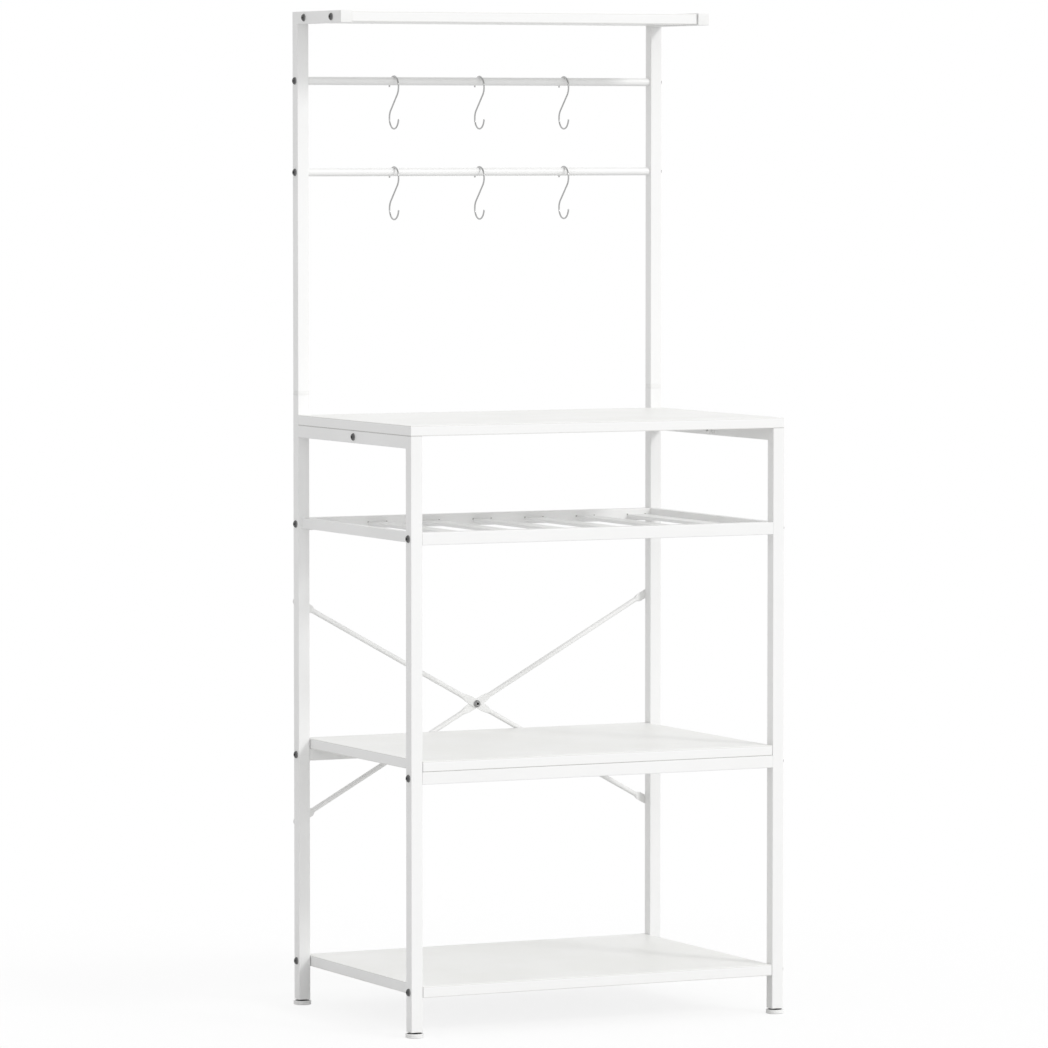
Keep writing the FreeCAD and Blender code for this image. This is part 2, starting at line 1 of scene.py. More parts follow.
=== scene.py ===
# %% [markdown]
# # Dressing a white kitchen rack
# The rack is two side frames of white square tube, four white boards, a slat rack, two hook bars
# with six hooks and a crossed brace behind. Its solids are finished and packed, so they are loaded
# here as a fixed frame. This lesson gives every surface its finish and rebuilds the small turned,
# bent and moulded pieces with their fine shapes. A model could also be sculpted freely over a
# photo, but then nothing would fit the frame's joints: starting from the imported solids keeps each
# piece where it belongs.

# %% Load the frame
import math

import bpy
import numpy as np
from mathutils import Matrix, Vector


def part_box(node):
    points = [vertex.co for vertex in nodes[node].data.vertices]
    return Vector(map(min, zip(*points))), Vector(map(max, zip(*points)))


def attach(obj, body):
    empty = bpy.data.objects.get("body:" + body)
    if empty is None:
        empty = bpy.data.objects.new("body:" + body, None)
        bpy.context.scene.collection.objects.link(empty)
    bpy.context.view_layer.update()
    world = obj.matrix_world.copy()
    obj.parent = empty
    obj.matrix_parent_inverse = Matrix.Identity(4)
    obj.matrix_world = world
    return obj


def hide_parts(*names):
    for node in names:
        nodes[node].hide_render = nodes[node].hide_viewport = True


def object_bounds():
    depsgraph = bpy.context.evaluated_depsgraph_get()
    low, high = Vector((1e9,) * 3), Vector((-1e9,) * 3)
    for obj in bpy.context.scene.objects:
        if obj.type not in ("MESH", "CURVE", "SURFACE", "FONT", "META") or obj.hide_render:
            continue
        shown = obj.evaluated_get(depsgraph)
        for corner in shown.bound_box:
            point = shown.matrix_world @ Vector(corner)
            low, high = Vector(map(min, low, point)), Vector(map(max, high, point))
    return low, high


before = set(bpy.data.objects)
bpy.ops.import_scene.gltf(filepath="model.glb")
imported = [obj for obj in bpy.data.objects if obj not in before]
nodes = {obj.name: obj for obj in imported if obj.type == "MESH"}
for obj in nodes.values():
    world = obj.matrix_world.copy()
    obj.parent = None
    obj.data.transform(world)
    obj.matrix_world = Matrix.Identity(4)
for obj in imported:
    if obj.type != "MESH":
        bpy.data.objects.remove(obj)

cad_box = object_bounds()

# %% [markdown]
# ## The camera
# A product portrait like this one is taken from far away with a long lens, from a little above and
# to the left, so that upright tubes stay upright and far tubes look hardly thinner than near ones.
# A camera could be turned by eye until it looks right. Here its turn, tilt, distance and focal
# length were worked out from the tubes' edges, so the script states them and builds the camera's
# place from them.

# %% Place the camera
scene = bpy.context.scene
scene.view_settings.view_transform = "Standard"

image_width = 1048
focal_length_in_pixels = 6443.1
view_azimuth = math.radians(-26.008)
view_pitch = math.radians(3.4853)
view_distance = 9.4426
view_height = 0.7147
view_slide = -0.01963

frame_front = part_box("left_front_leg")[0].y
frame_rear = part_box("left_rear_leg")[1].y
view_right = Vector((math.cos(view_azimuth), math.sin(view_azimuth), 0))
view_back = Vector((math.sin(view_azimuth) * math.cos(view_pitch),
                    -math.cos(view_azimuth) * math.cos(view_pitch),
                    math.sin(view_pitch)))
view_target = Vector((0, (frame_front + frame_rear) / 2, view_height)) + view_right * view_slide

camera = bpy.data.objects.new("camera", bpy.data.cameras.new("camera"))
camera.data.lens = focal_length_in_pixels / image_width * camera.data.sensor_width
camera.location = view_target + view_back * view_distance
camera.rotation_euler = view_back.to_track_quat("Z", "Y").to_euler()
scene.collection.objects.link(camera)
scene.camera = camera
print("camera at", [round(value, 3) for value in camera.location])
print("lens", round(camera.data.lens, 1))

# %% [markdown]
# ## Node helpers
# Every finish below is a small network of shader nodes. They could be dragged together by hand in
# the shader editor. In a script, one helper that adds a node and fills its inputs, from a number or
# from another node's output, keeps each finish short enough to read at a glance.


# %% Helpers for shader nodes
def add_node(tree, kind, inputs=None, **options):
    """Add a shader node, set its options and fill its inputs with values or links from sockets."""
    made = tree.nodes.new("ShaderNode" + kind)
    for option, value in options.items():
        setattr(made, option, value)
    for socket, value in (inputs or {}).items():
        if isinstance(value, bpy.types.NodeSocket):
            tree.links.new(value, made.inputs[socket])
        else:
            made.inputs[socket].default_value = value
    return made


def calculate(tree, operation, *values):
    """Output of a math node."""
    return add_node(tree, "Math", dict(enumerate(values)), operation=operation).outputs[0]


def combine(tree, operation, *vectors, result="Vector"):
    """Output of a vector math node; a length or a product comes out as its Value."""
    made = add_node(tree, "VectorMath", dict(enumerate(vectors)), operation=operation)
    return made.outputs[result]


def spread(tree, value, from_low, from_high, to_low, to_high):
    """Output of a value stretched from one range to another, eased at both ends and clamped."""
    limits = {"Value": value, 1: from_low, 2: from_high, 3: to_low, 4: to_high}
    return add_node(tree, "MapRange", limits, interpolation_type="SMOOTHSTEP").outputs[0]


def mix_colours(tree, share, first, second):
    """Output of two colours mixed by a share: 0 gives the first."""
    sockets = {0: share, 6: first, 7: second}
    return add_node(tree, "Mix", sockets, data_type="RGBA").outputs[2]


def mix_shaders(tree, share, first, second):
    """Output of two shaders mixed by a share: 0 gives the first."""
    return add_node(tree, "MixShader", {0: share, 1: first, 2: second}).outputs[0]


def grey(value, warmth=0.0):
    """Colour of a grey level; warmth takes that share out of its blue."""
    return (value, value, value * (1 - warmth), 1)


print("node helpers ready")

# %% [markdown]
# ## Light and world
# The rack stands in a white studio: a broad light from the upper right front gives the soft-edged
# shadows, and white walls fill the rest. The walls are brighter to the right and in front than to
# the left and behind, and brighter than the ceiling, so their strength is a level plus the
# direction times a lean. The background is pure white. More light would also make it white, but
# would burn out the rack. Instead the world shows plain white to the camera and to reflections, and
# lights the rack by the lean.

# %% Light the studio
to_light = Vector((0.57, -1.0, 0.66))
sun_strength = 0.95
sun_angle = math.radians(12)
sky_level = 1.05
sky_lean = (0.15, -0.17, -0.35)


def sees_background(tree):
    """1 for rays that see the bare studio: from the camera, by reflection or through glass."""
    path = add_node(tree, "LightPath").outputs
    direct = calculate(tree, "MAXIMUM", path["Is Camera Ray"], path["Is Glossy Ray"])
    return calculate(tree, "MAXIMUM", direct, path["Is Transmission Ray"])


sun = bpy.data.objects.new("key_light", bpy.data.lights.new("key_light", "SUN"))
sun.data.energy = sun_strength
sun.data.angle = sun_angle
sun.rotation_euler = to_light.to_track_quat("Z", "Y").to_euler()
scene.collection.objects.link(sun)

scene.world = bpy.data.worlds.new("white_studio")
scene.world.use_nodes = True
sky = scene.world.node_tree
sky.nodes.clear()
direction = add_node(sky, "TexCoord").outputs["Generated"]
lean = combine(sky, "DOT_PRODUCT", direction, sky_lean, result="Value")
fill_strength = calculate(sky, "ADD", lean, sky_level)
fill = add_node(sky, "Background", {"Color": grey(1), "Strength": fill_strength}).outputs[0]
backdrop = add_node(sky, "Background", {"Color": grey(1), "Strength": 1.0}).outputs[0]
shown_sky = mix_shaders(sky, sees_background(sky), fill, backdrop)
add_node(sky, "OutputWorld", {"Surface": shown_sky})
print("sun and sky set")

# %% [markdown]
# ## The floor
# A pale grey studio floor throws less light back up than a white one, so undersides and left-hand
# faces stay a light grey. A plain floor would show its grey and its far edge, and a shadow catcher
# needs a compositor. Here the floor is see-through to the camera, apart from a thin matt share that
# carries the rack's shadow and fades away from the rack.

# %% Lay the floor
floor_reach = 20.0
floor_grey = 0.66
shadow_share = 0.16
shadow_near = 0.45
shadow_far = 1.5


def floor_finish():
    """Matt pale grey for light, and for the eye a clear sheet with a matt share that fades away."""
    material = bpy.data.materials.new("studio_floor")
    material.use_nodes = True
    tree = material.node_tree
    tree.nodes.clear()
    place = add_node(tree, "TexCoord").outputs["Object"]
    distance = combine(tree, "LENGTH", place, result="Value")
    share = spread(tree, distance, shadow_near, shadow_far, shadow_share, 0)
    clear = add_node(tree, "BsdfTransparent").outputs[0]
    matt = add_node(tree, "BsdfDiffuse", {"Color": grey(floor_grey)}).outputs[0]
    catcher = add_node(tree, "BsdfDiffuse", {"Color": grey(1)}).outputs[0]
    from_above = mix_shaders(tree, share, clear, catcher)
    is_below = add_node(tree, "NewGeometry").outputs["Backfacing"]
    seen = mix_shaders(tree, is_below, from_above, clear)
    result = mix_shaders(tree, sees_background(tree), matt, seen)
    add_node(tree, "OutputMaterial", {"Surface": result})
    return material


floor_height = cad_box[0].z
square = np.array([[-1, -1, 0], [1, -1, 0], [1, 1, 0], [-1, 1, 0]])
corners = square * floor_reach + [0, 0, floor_height]
floor_mesh = bpy.data.meshes.new("studio_floor")
floor_mesh.from_pydata(corners.tolist(), [], [(0, 1, 2, 3)])
floor_mesh.materials.append(floor_finish())
floor = bpy.data.objects.new("studio_floor", floor_mesh)
scene.collection.objects.link(floor)
print("floor at height", round(floor_height, 4))

# %% [markdown]
# ## Effects that several finishes share
# White powder paint, the boards' melamine face and moulded plastic are all white, but each has its
# own fine relief: paint dries in an orange-peel skin, melamine is pressed against a stippled plate
# and plastic copies its etched mould. All three can come from one group with another cell size. The
# groups below are built once and used with each finish's own values. Images would show their pixels
# up close, so all patterns are noise in the piece's own space, in metres.

# %% Groups for relief, smudges and thin corners
finer_cells = 4.3
finer_height = 0.3
cloud_scale = 9.0
cloud_limits = (0.3, 0.7)
smudge_noise = {"Scale": 26.0, "Detail": 6.0, "Roughness": 0.62, "Distortion": 1.2}
smudge_limits = (0.5, 0.72)
crest_limits = (0.72, 0.97)


def start_group(name, inputs, outputs):
    """New shader node group with named sockets: its tree, its input and its output sockets."""
    tree = bpy.data.node_groups.new(name, "ShaderNodeTree")
    for way, sockets in (("INPUT", inputs), ("OUTPUT", outputs)):
        for socket, kind in sockets.items():
            tree.interface.new_socket(name=socket, in_out=way, socket_type="NodeSocket" + kind)
    inlet = tree.nodes.new("NodeGroupInput").outputs
    return tree, inlet, tree.nodes.new("NodeGroupOutput").inputs


def noise(tree, place, scale, detail, roughness=0.5):
    """Value of a noise in space, about 0.2 to 0.8."""
    inputs = {"Vector": place, "Scale": scale, "Detail": detail, "Roughness": roughness}
    return add_node(tree, "TexNoise", inputs).outputs["Fac"]


def make_fine_relief():
    """Group: a skin of cells with finer cells on it, and a slow cloud of tone."""
    tree, inlet, outlet = start_group("fine_relief", {"Place": "Vector", "Cell": "Float"},
                                      {"Height": "Float", "Cloud": "Float"})
    per_metre = calculate(tree, "DIVIDE", 1.0, inlet["Cell"])
    cells = noise(tree, inlet["Place"], per_metre, 1.0)
    finer_scale = calculate(tree, "MULTIPLY", per_metre, finer_cells)
    fine = noise(tree, inlet["Place"], finer_scale, 1.0)
    fine_share = calculate(tree, "MULTIPLY", fine, finer_height)
    cloud = noise(tree, inlet["Place"], cloud_scale, 4.0)
    tree.links.new(calculate(tree, "ADD", cells, fine_share), outlet["Height"])
    tree.links.new(spread(tree, cloud, *cloud_limits, 0, 1), outlet["Cloud"])
    return tree


def make_hand_smudges():
    """Group: streaky patches a few centimetres wide, where hands and cloths dulled the gloss."""
    tree, inlet, outlet = start_group("hand_smudges", {"Place": "Vector"}, {"Smudge": "Float"})
    streaks = add_node(tree, "TexNoise", {"Vector": inlet["Place"], **smudge_noise}).outputs["Fac"]
    tree.links.new(spread(tree, streaks, *smudge_limits, 0, 1), outlet["Smudge"])
    return tree


def make_thin_corners():
    """Group: mask of the rounded edges between square faces, where a coat is thinnest.

    The largest part of the facing is 1 on a square face and falls to 0.71 half-way round an edge.
    """
    tree, inlet, outlet = start_group("thin_corners", {"Facing": "Vector"}, {"Crest": "Float"})
    parts = add_node(tree, "SeparateXYZ", {0: combine(tree, "ABSOLUTE", inlet["Facing"])}).outputs
    larger = calculate(tree, "MAXIMUM", parts[0], parts[1])
    largest = calculate(tree, "MAXIMUM", larger, parts[2])
    tree.links.new(spread(tree, largest, *crest_limits, 1, 0), outlet["Crest"])
    return tree


fine_relief = make_fine_relief()
hand_smudges = make_hand_smudges()
thin_corners = make_thin_corners()
print("shared groups:", fine_relief.name, hand_smudges.name, thin_corners.name)

# %% [markdown]
# ## Effects on metal
# A bolt's head keeps rings from the turning tool, a hook's wire keeps lines from the drawing die,
# and plating sets in soft crystal patches. Each is a noise that is bent to the way the piece was
# made: along one line from the axis, stretched along the wire, or in cells. A texture wound round
# the piece would need a seam, and a noise needs none.

# %% Groups for turned, drawn and plated metal
line_stretch = (1, 1, 0.02)
line_noise = {"detail": 3.0, "roughness": 0.6}
patch_share = 0.5
patch_softness = 0.6


def make_lathe_rings():
    """Group: uneven rings round the piece's own z axis, as a turning tool leaves them.

    The rings are noise along one line, read at the distance from the axis over the ring spacing.
    """
    tree, inlet, outlet = start_group("lathe_rings", {"Own": "Vector", "Spacing": "Float"},
                                      {"Rings": "Float"})
    flat = combine(tree, "MULTIPLY", inlet["Own"], (1, 1, 0))
    radius = combine(tree, "LENGTH", flat, result="Value")
    line = {"W": calculate(tree, "DIVIDE", radius, inlet["Spacing"]), "Scale": 1.0, "Detail": 2.0}
    rings = add_node(tree, "TexNoise", line, noise_dimensions="1D").outputs["Fac"]
    tree.links.new(rings, outlet["Rings"])
    return tree


def make_drawn_lines():
    """Group: long lines along the piece's own z axis: noise stretched along z."""
    tree, inlet, outlet = start_group("drawn_lines", {"Own": "Vector", "Spacing": "Float"},
                                      {"Lines": "Float"})
    squeezed = combine(tree, "MULTIPLY", inlet["Own"], line_stretch)
    per_metre = calculate(tree, "DIVIDE", 1.0, inlet["Spacing"])
    tree.links.new(noise(tree, squeezed, per_metre, **line_noise), outlet["Lines"])
    return tree


def make_plating_bloom():
    """Group: soft crystal patches of a plated surface, each with its own tone."""
    tree, inlet, outlet = start_group("plating_bloom", {"Own": "Vector", "Patch": "Float"},
                                      {"Bloom": "Float"})
    per_metre = calculate(tree, "DIVIDE", 1.0, inlet["Patch"])
    inputs = {"Vector": inlet["Own"], "Scale": per_metre, "Smoothness": patch_softness}
    cells = add_node(tree, "TexVoronoi", inputs, feature="SMOOTH_F1").outputs["Distance"]
    haze = noise(tree, inlet["Own"], per_metre, 4.0)
    patches = calculate(tree, "MULTIPLY", cells, patch_share)
    tree.links.new(calculate(tree, "ADD", patches, haze), outlet["Bloom"])
    return tree


lathe_rings = make_lathe_rings()
drawn_lines = make_drawn_lines()
plating_bloom = make_plating_bloom()
print("metal groups:", lathe_rings.name, drawn_lines.name, plating_bloom.name)

# %% [markdown]
# ## White paint and plastic
# The tubes are steel with white powder paint: satin, with a faint orange peel, and a touch thinner
# and so greyer on the tubes' rounded corners. The small fittings are moulded plastic, a little
# greyer and duller. The slats' tack welds are a darker grey, which is painted shade for the corners
# where the slats meet the rails. One material could be copied and changed by hand. A function with
# each coat's own values says at once how the coats differ.


# %% Start a finish
def start_finish(name):
    """New material with a Principled shader: the tree and the shader's inputs."""
    material = bpy.data.materials.new(name)
    material.use_nodes = True
    tree = material.node_tree
    tree.nodes.clear()
    shader = add_node(tree, "BsdfPrincipled")
    add_node(tree, "OutputMaterial", {"Surface": shader.outputs[0]})
    return material, tree, shader.inputs


def use_group(tree, group, inputs):
    """Output sockets of a shared group placed in a finish."""
    return add_node(tree, "Group", inputs, node_tree=group).outputs


def stored(tree, name, output):
    """Output of what the piece's points store under a name."""
    return add_node(tree, "Attribute", attribute_name=name).outputs[output]


def set_surface(tree, shader, colour, roughness, height, depth):
    """Colour, roughness, and a bump whose height of 0 to 1 stands for a depth in metres."""
    bump = add_node(tree, "Bump", {"Height": height, "Distance": depth, "Strength": 1.0})
    tree.links.new(colour, shader["Base Color"])
    tree.links.new(roughness, shader["Roughness"])
    tree.links.new(bump.outputs[0], shader["Normal"])


def smudged_roughness(tree, cloud, place, smooth, dull):
    """Roughness between smooth and dull by a cloud, with hand smudges a little duller still."""
    smudge = use_group(tree, hand_smudges, {"Place": place})["Smudge"]
    cloudy = spread(tree, cloud, 0, 1, smooth, dull)
    return calculate(tree, "MULTIPLY_ADD", smudge, dull - smooth, cloudy)


print("finish helpers ready")

# %% Powder paint and plastic
cloud_shade = 0.98
cloud_warmth = 1.6
crest_shade = 0.965


def coated_white(name, level, warmth, cell, depth, smooth, dull, place_name=None):
    """White coat: a cloud of tone, greyer thin corners, and a fine relief of a cell and depth."""
    material, tree, shader = start_finish(name)
    if place_name:
        place = stored(tree, place_name, "Vector")
    else:
        place = add_node(tree, "TexCoord").outputs["Object"]
    facing = add_node(tree, "NewGeometry").outputs["Normal"]
    relief = use_group(tree, fine_relief, {"Place": place, "Cell": cell})
    crest = use_group(tree, thin_corners, {"Facing": facing})["Crest"]
    cloudy = mix_colours(tree, relief["Cloud"], grey(level, warmth),
                         grey(level * cloud_shade, warmth * cloud_warmth))
    thin = mix_colours(tree, crest, cloudy, grey(level * crest_shade, warmth))
    roughness = smudged_roughness(tree, relief["Cloud"], place, smooth, dull)
    set_surface(tree, shader, thin, roughness, relief["Height"], depth)
    return material


powder_paint = coated_white("white_powder_paint", level=0.88, warmth=0.004, cell=0.0016,
                            depth=0.000012, smooth=0.36, dull=0.44)
bead_paint = coated_white("white_powder_paint_on_welds", level=0.87, warmth=0.006, cell=0.0016,
                          depth=0.000014, smooth=0.38, dull=0.46, place_name="own")
moulded_plastic = coated_white("white_moulded_plastic", level=0.85, warmth=0.008, cell=0.0006,
                               depth=0.00002, smooth=0.46, dull=0.56, place_name="own")
# Painted shade: the tacks' darker grey stands for the shade at the slats' corners.
tack_shade_paint = coated_white("painted_shade_on_tacks", level=0.5, warmth=0.03, cell=0.0008,
                          depth=0.00004, smooth=0.4, dull=0.5, place_name="own")
print("coats:", powder_paint.name, bead_paint.name, moulded_plastic.name, tack_shade_paint.name)

# %% [markdown]
# ## Melamine boards
# The boards are faced with white melamine and edged with a glued strip, whose joint shows as a hair
# line beside each long edge. Where a board lies on rails, the seam's shade is painted as a thin
# dark line. The lines could be cut into the boards, but they are thinner than paint, so they are
# masks.
# Each board gets its own finish, because the masks come from its own box.

# %% Board finishes
edge_strip = 0.0009
joint_half_width = 0.00012
pearl_cell = 0.0011
pearl_depth = 0.000016
board_white = grey(0.885, 0.016)
board_cloud = grey(0.872, 0.022)
strip_white = grey(0.875, 0.006)
joint_shade = grey(0.62, 0.05)
board_smooth = 0.33
board_dull = 0.4
side_limits = (0.05, 0.3)
seam_height = 0.0003
seam_shade = grey(0.3, 0.05)
rail_under = {"counter_board": ("left_top_rail", 0),
              "middle_shelf_board": ("middle_shelf_front_rail", 1)}


def off_from(tree, value, level):
    """Distance of a value from a level."""
    return calculate(tree, "ABSOLUTE", calculate(tree, "SUBTRACT", value, level))


def joint_line(tree, height, level):
    """Mask of 1 within the joint's half width of a level, fading to 0 at twice that."""
    off = off_from(tree, height, level)
    return spread(tree, off, joint_half_width, 2 * joint_half_width, 1, 0)


def painted_seam_shadow(tree, parts, node):
    """Mask of painted shade on a board's lowest rim, as far from its middle as the rail's inner
    face.
    """
    low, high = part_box(node)
    rail, axis = rail_under[node]
    middle = (low[axis] + high[axis]) / 2
    inner = min(abs(corner[axis] - middle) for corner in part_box(rail))
    off_middle = off_from(tree, parts[axis], middle)
    over_rail = spread(tree, off_middle, inner, inner + seam_height, 0, 1)
    at_rim = spread(tree, parts[2], low.z + seam_height, low.z + 2 * seam_height, 1, 0)
    return calculate(tree, "MULTIPLY", over_rail, at_rim)


def melamine(node):
    """Pearl-stippled faces, joint lines inside the sides' edges, and painted shade in seams over
    rails.
    """
    low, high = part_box(node)
    material, tree, shader = start_finish("white_melamine_of_" + node)
    place = add_node(tree, "TexCoord").outputs["Object"]
    facing = add_node(tree, "NewGeometry").outputs["Normal"]
    parts = add_node(tree, "SeparateXYZ", {0: place}).outputs
    facing_up = add_node(tree, "SeparateXYZ", {0: facing}).outputs["Z"]
    on_side = spread(tree, calculate(tree, "ABSOLUTE", facing_up), *side_limits, 1, 0)
    lines = calculate(tree, "MAXIMUM", joint_line(tree, parts["Z"], low.z + edge_strip),
                      joint_line(tree, parts["Z"], high.z - edge_strip))
    joints = calculate(tree, "MULTIPLY", lines, on_side)
    relief = use_group(tree, fine_relief, {"Place": place, "Cell": pearl_cell})
    faces = mix_colours(tree, relief["Cloud"], board_white, board_cloud)
    strips = mix_colours(tree, on_side, faces, strip_white)
    colour = mix_colours(tree, joints, strips, joint_shade)
    if node in rail_under:
        # Painted shade: a thin dark line on the board's lowest rim over the rail.
        colour = mix_colours(tree, painted_seam_shadow(tree, parts, node), colour, seam_shade)
    roughness = smudged_roughness(tree, relief["Cloud"], place, board_smooth, board_dull)
    set_surface(tree, shader, colour, roughness, relief["Height"], pearl_depth)
    return material


board_finishes = {name: melamine(name) for name in nodes if name.endswith("_board")}
print("boards finished:", sorted(board_finishes))

# %% [markdown]
# ## Metal finishes
# The frame's bolts and the brace's end screws are blackened steel with turned rings on the heads,
# and the bolts are rubbed bright on the rim and round the key socket. The bolt and nut at the
# brace's crossing and the hidden screws are zinc plated, paler and cloudy. The hooks are drawn and
# plated wire, with fine lines along the wire and raw sheared ends. One grey metal could serve for
# all. Real metal is a mirror with a tint, so here all use full Metallic and differ in tint,
# roughness and relief. Two values stored on each point guide them: own, the point's place in its
# piece before the piece was put on the rack, and worn, a share of rubbing, whose values below zero
# paint shade into the bolts' key sockets.

# %% Turned and drawn metal
ring_spacing = 0.00022
ring_depth = 0.000012
bolt_patch = 0.0014
patch_shade = 0.78
patch_limits = (0.4, 1.0)
bloom_limits = (0.35, 1.0)
line_spacing = 0.00035
line_depth = 0.000015
wire_patch = 0.003
line_shade = 0.86
line_limits = (0.3, 0.7)
socket_shade_grey = grey(0.03)
wear_scale = 1500.0
wear_noise = {"detail": 4.0, "roughness": 0.65}
wear_limits = (0.3, 0.65)
least_wear = 0.35


def worn_share(tree, own):
    """Share of rubbing stored on the points, made ragged at its border by a fine noise."""
    patchy = noise(tree, own, wear_scale, **wear_noise)
    ragged = spread(tree, patchy, *wear_limits, least_wear, 1)
    rubbing = calculate(tree, "MAXIMUM", stored(tree, "wear_and_shade", "Fac"), 0.0)
    return calculate(tree, "MULTIPLY", rubbing, ragged)


def socket_shade_share(tree):
    """Share of painted shade in hollows: how far the stored wear is below zero."""
    below = calculate(tree, "MULTIPLY", stored(tree, "wear_and_shade", "Fac"), -1.0)
    return calculate(tree, "MAXIMUM", below, 0.0)


def cloudy_plating(tree, bloom, tint, shade):
    """Colour between a tint and a shade, by the plating's patches."""
    return mix_colours(tree, spread(tree, bloom, *patch_limits, 0, 1), tint, shade)


def set_metal(tree, shader, colour, bloom, smooth, dull, height, depth):
    """Full metal with a colour, a roughness that follows the plating's bloom, and a relief."""
    shader["Metallic"].default_value = 1.0
    roughness = spread(tree, bloom, *bloom_limits, smooth, dull)
    set_surface(tree, shader, colour, roughness, height, depth)


def turned_metal(name, tint, rubbed, smooth, dull):
    """Plated or blackened metal with lathe rings; rubbed is its tint where it is rubbed."""
    material, tree, shader = start_finish(name)
    own = stored(tree, "own", "Vector")
    rings = use_group(tree, lathe_rings, {"Own": own, "Spacing": ring_spacing})["Rings"]
    bloom = use_group(tree, plating_bloom, {"Own": own, "Patch": bolt_patch})["Bloom"]
    cloudy = cloudy_plating(tree, bloom, grey(tint), grey(patch_shade * tint))
    rubbed_rims = mix_colours(tree, worn_share(tree, own), cloudy, grey(rubbed))
    # Painted shade darkens the key sockets, where the stored value is below zero.
    colour = mix_colours(tree, socket_shade_share(tree), rubbed_rims, socket_shade_grey)
    set_metal(tree, shader, colour, bloom, smooth, dull, rings, ring_depth)
    return material


def drawn_metal(name, tint, raw, smooth, dull):
    """Plated wire with drawn lines; raw is the tint of its sheared ends, stored as worn."""
    material, tree, shader = start_finish(name)
    own = stored(tree, "own", "Vector")
    lines = use_group(tree, drawn_lines, {"Own": own, "Spacing": line_spacing})["Lines"]
    bloom = use_group(tree, plating_bloom, {"Own": own, "Patch": wire_patch})["Bloom"]
    streaks = spread(tree, lines, *line_limits, 0, 1)
    streaked = mix_colours(tree, streaks, grey(tint), grey(line_shade * tint))
    colour = mix_colours(tree, worn_share(tree, own), streaked, grey(raw))
    set_metal(tree, shader, colour, bloom, smooth, dull, lines, line_depth)
    return material


black_steel = turned_metal("blackened_bolt_steel", tint=0.11, rubbed=0.36, smooth=0.32, dull=0.5)
bright_zinc = turned_metal("bright_zinc", tint=0.33, rubbed=0.5, smooth=0.26, dull=0.42)
dull_zinc = turned_metal("dull_zinc", tint=0.46, rubbed=0.6, smooth=0.34, dull=0.52)
hook_wire_finish = drawn_metal("plated_hook_wire", tint=0.48, raw=0.1, smooth=0.2, dull=0.34)
print("metals:", black_steel.name, bright_zinc.name, dull_zinc.name, hook_wire_finish.name)

# %% [markdown]
# ## Finishes on the solids that stay
# The tubes, rails, slats, bars, brackets and boards already have their true shapes, so they keep
# their meshes and only change their material slots. They could be rebuilt as well, but that would
# gain nothing. The inserts deep inside the tubes and boards are plain zinc-plated steel.

# %% Zinc for the hidden inserts
insert_patch = 0.0016
insert_depth = 0.00001
insert_tint = grey(0.5)
insert_shade = grey(0.38, 0.03)


def plain_zinc(name, smooth, dull):
    """Zinc-plated steel for solids with no stored places: cloudy patches in object space."""
    material, tree, shader = start_finish(name)
    place = add_node(tree, "TexCoord").outputs["Object"]
    bloom = use_group(tree, plating_bloom, {"Own": place, "Patch": insert_patch})["Bloom"]
    colour = cloudy_plating(tree, bloom, insert_tint, insert_shade)
    set_metal(tree, shader, colour, bloom, smooth, dull, bloom, insert_depth)
    return material


insert_zinc = plain_zinc("zinc_on_inserts", smooth=0.3, dull=0.5)
for name, solid in nodes.items():
    plain_finish = insert_zinc if name.endswith("_inserts") else powder_paint
    solid.material_slots[0].material = board_finishes.get(name, plain_finish)
print("finishes set on", len(nodes), "solids")

# %% [markdown]
# ## Surfaces from numbers
# The small pieces are rebuilt as grids of points. A grid has rows along the piece and columns round
# it, and numpy works out all its points at once from a formula. A lathe shape could also be spun
# with a modifier, and a hook could be a bevelled curve, but a grid can also carry a thread, a
# hexagon key or a pressed flat, and it can store each point's own place for the finishes above.

# %% Helpers that turn grids into meshes
upright_limit = 0.9


def closed_skin(rows, ends_meet=False):
    """Points, four-sided faces and end fans of a grid of rows x columns, closed round its columns.

    The ends meet where the last row joins the first, as on a ring. Otherwise a fan closes each end
    on a point added in the end row's middle. Columns run anticlockwise round the rows' direction,
    so that the faces point outwards.
    """
    count, around = rows.shape[:2]
    steps = count if ends_meet else count - 1
    row, column = np.meshgrid(np.arange(steps), np.arange(around), indexing="ij")
    next_row = (row + 1) % count
    next_column = (column + 1) % around
    corners = [row * around + column, row * around + next_column,
               next_row * around + next_column, next_row * around + column]
    quads = np.stack(corners, axis=-1).reshape(-1, 4)
    if ends_meet:
        return rows.reshape(-1, 3), quads, np.empty((0, 3), int)
    ring = np.arange(around)
    next_ring = (ring + 1) % around
    last = (count - 1) * around
    first_pole = np.full(around, count * around)
    fans = np.concatenate([np.stack([first_pole, next_ring, ring], axis=-1),
                           np.stack([first_pole + 1, last + ring, last + next_ring], axis=-1)])
    poles = rows[[0, -1]].mean(axis=1)
    return np.concatenate([rows.reshape(-1, 3), poles]), quads, fans


def axes_along(direction):
    """Three axes, as rows, whose third is the direction; for (0, 0, 1) they are x, y and z."""
    third = np.asarray(direction, float) / np.linalg.norm(direction)
    helper = (0, 0, 1) if abs(third[2]) < upright_limit else (0, 1, 0)
    first = np.cross(helper, third)
    first /= np.linalg.norm(first)
    return np.stack([first, np.cross(third, first), third])


print("grid helpers ready")

# %% Helper that makes a piece
sharp_angle = math.radians(40)


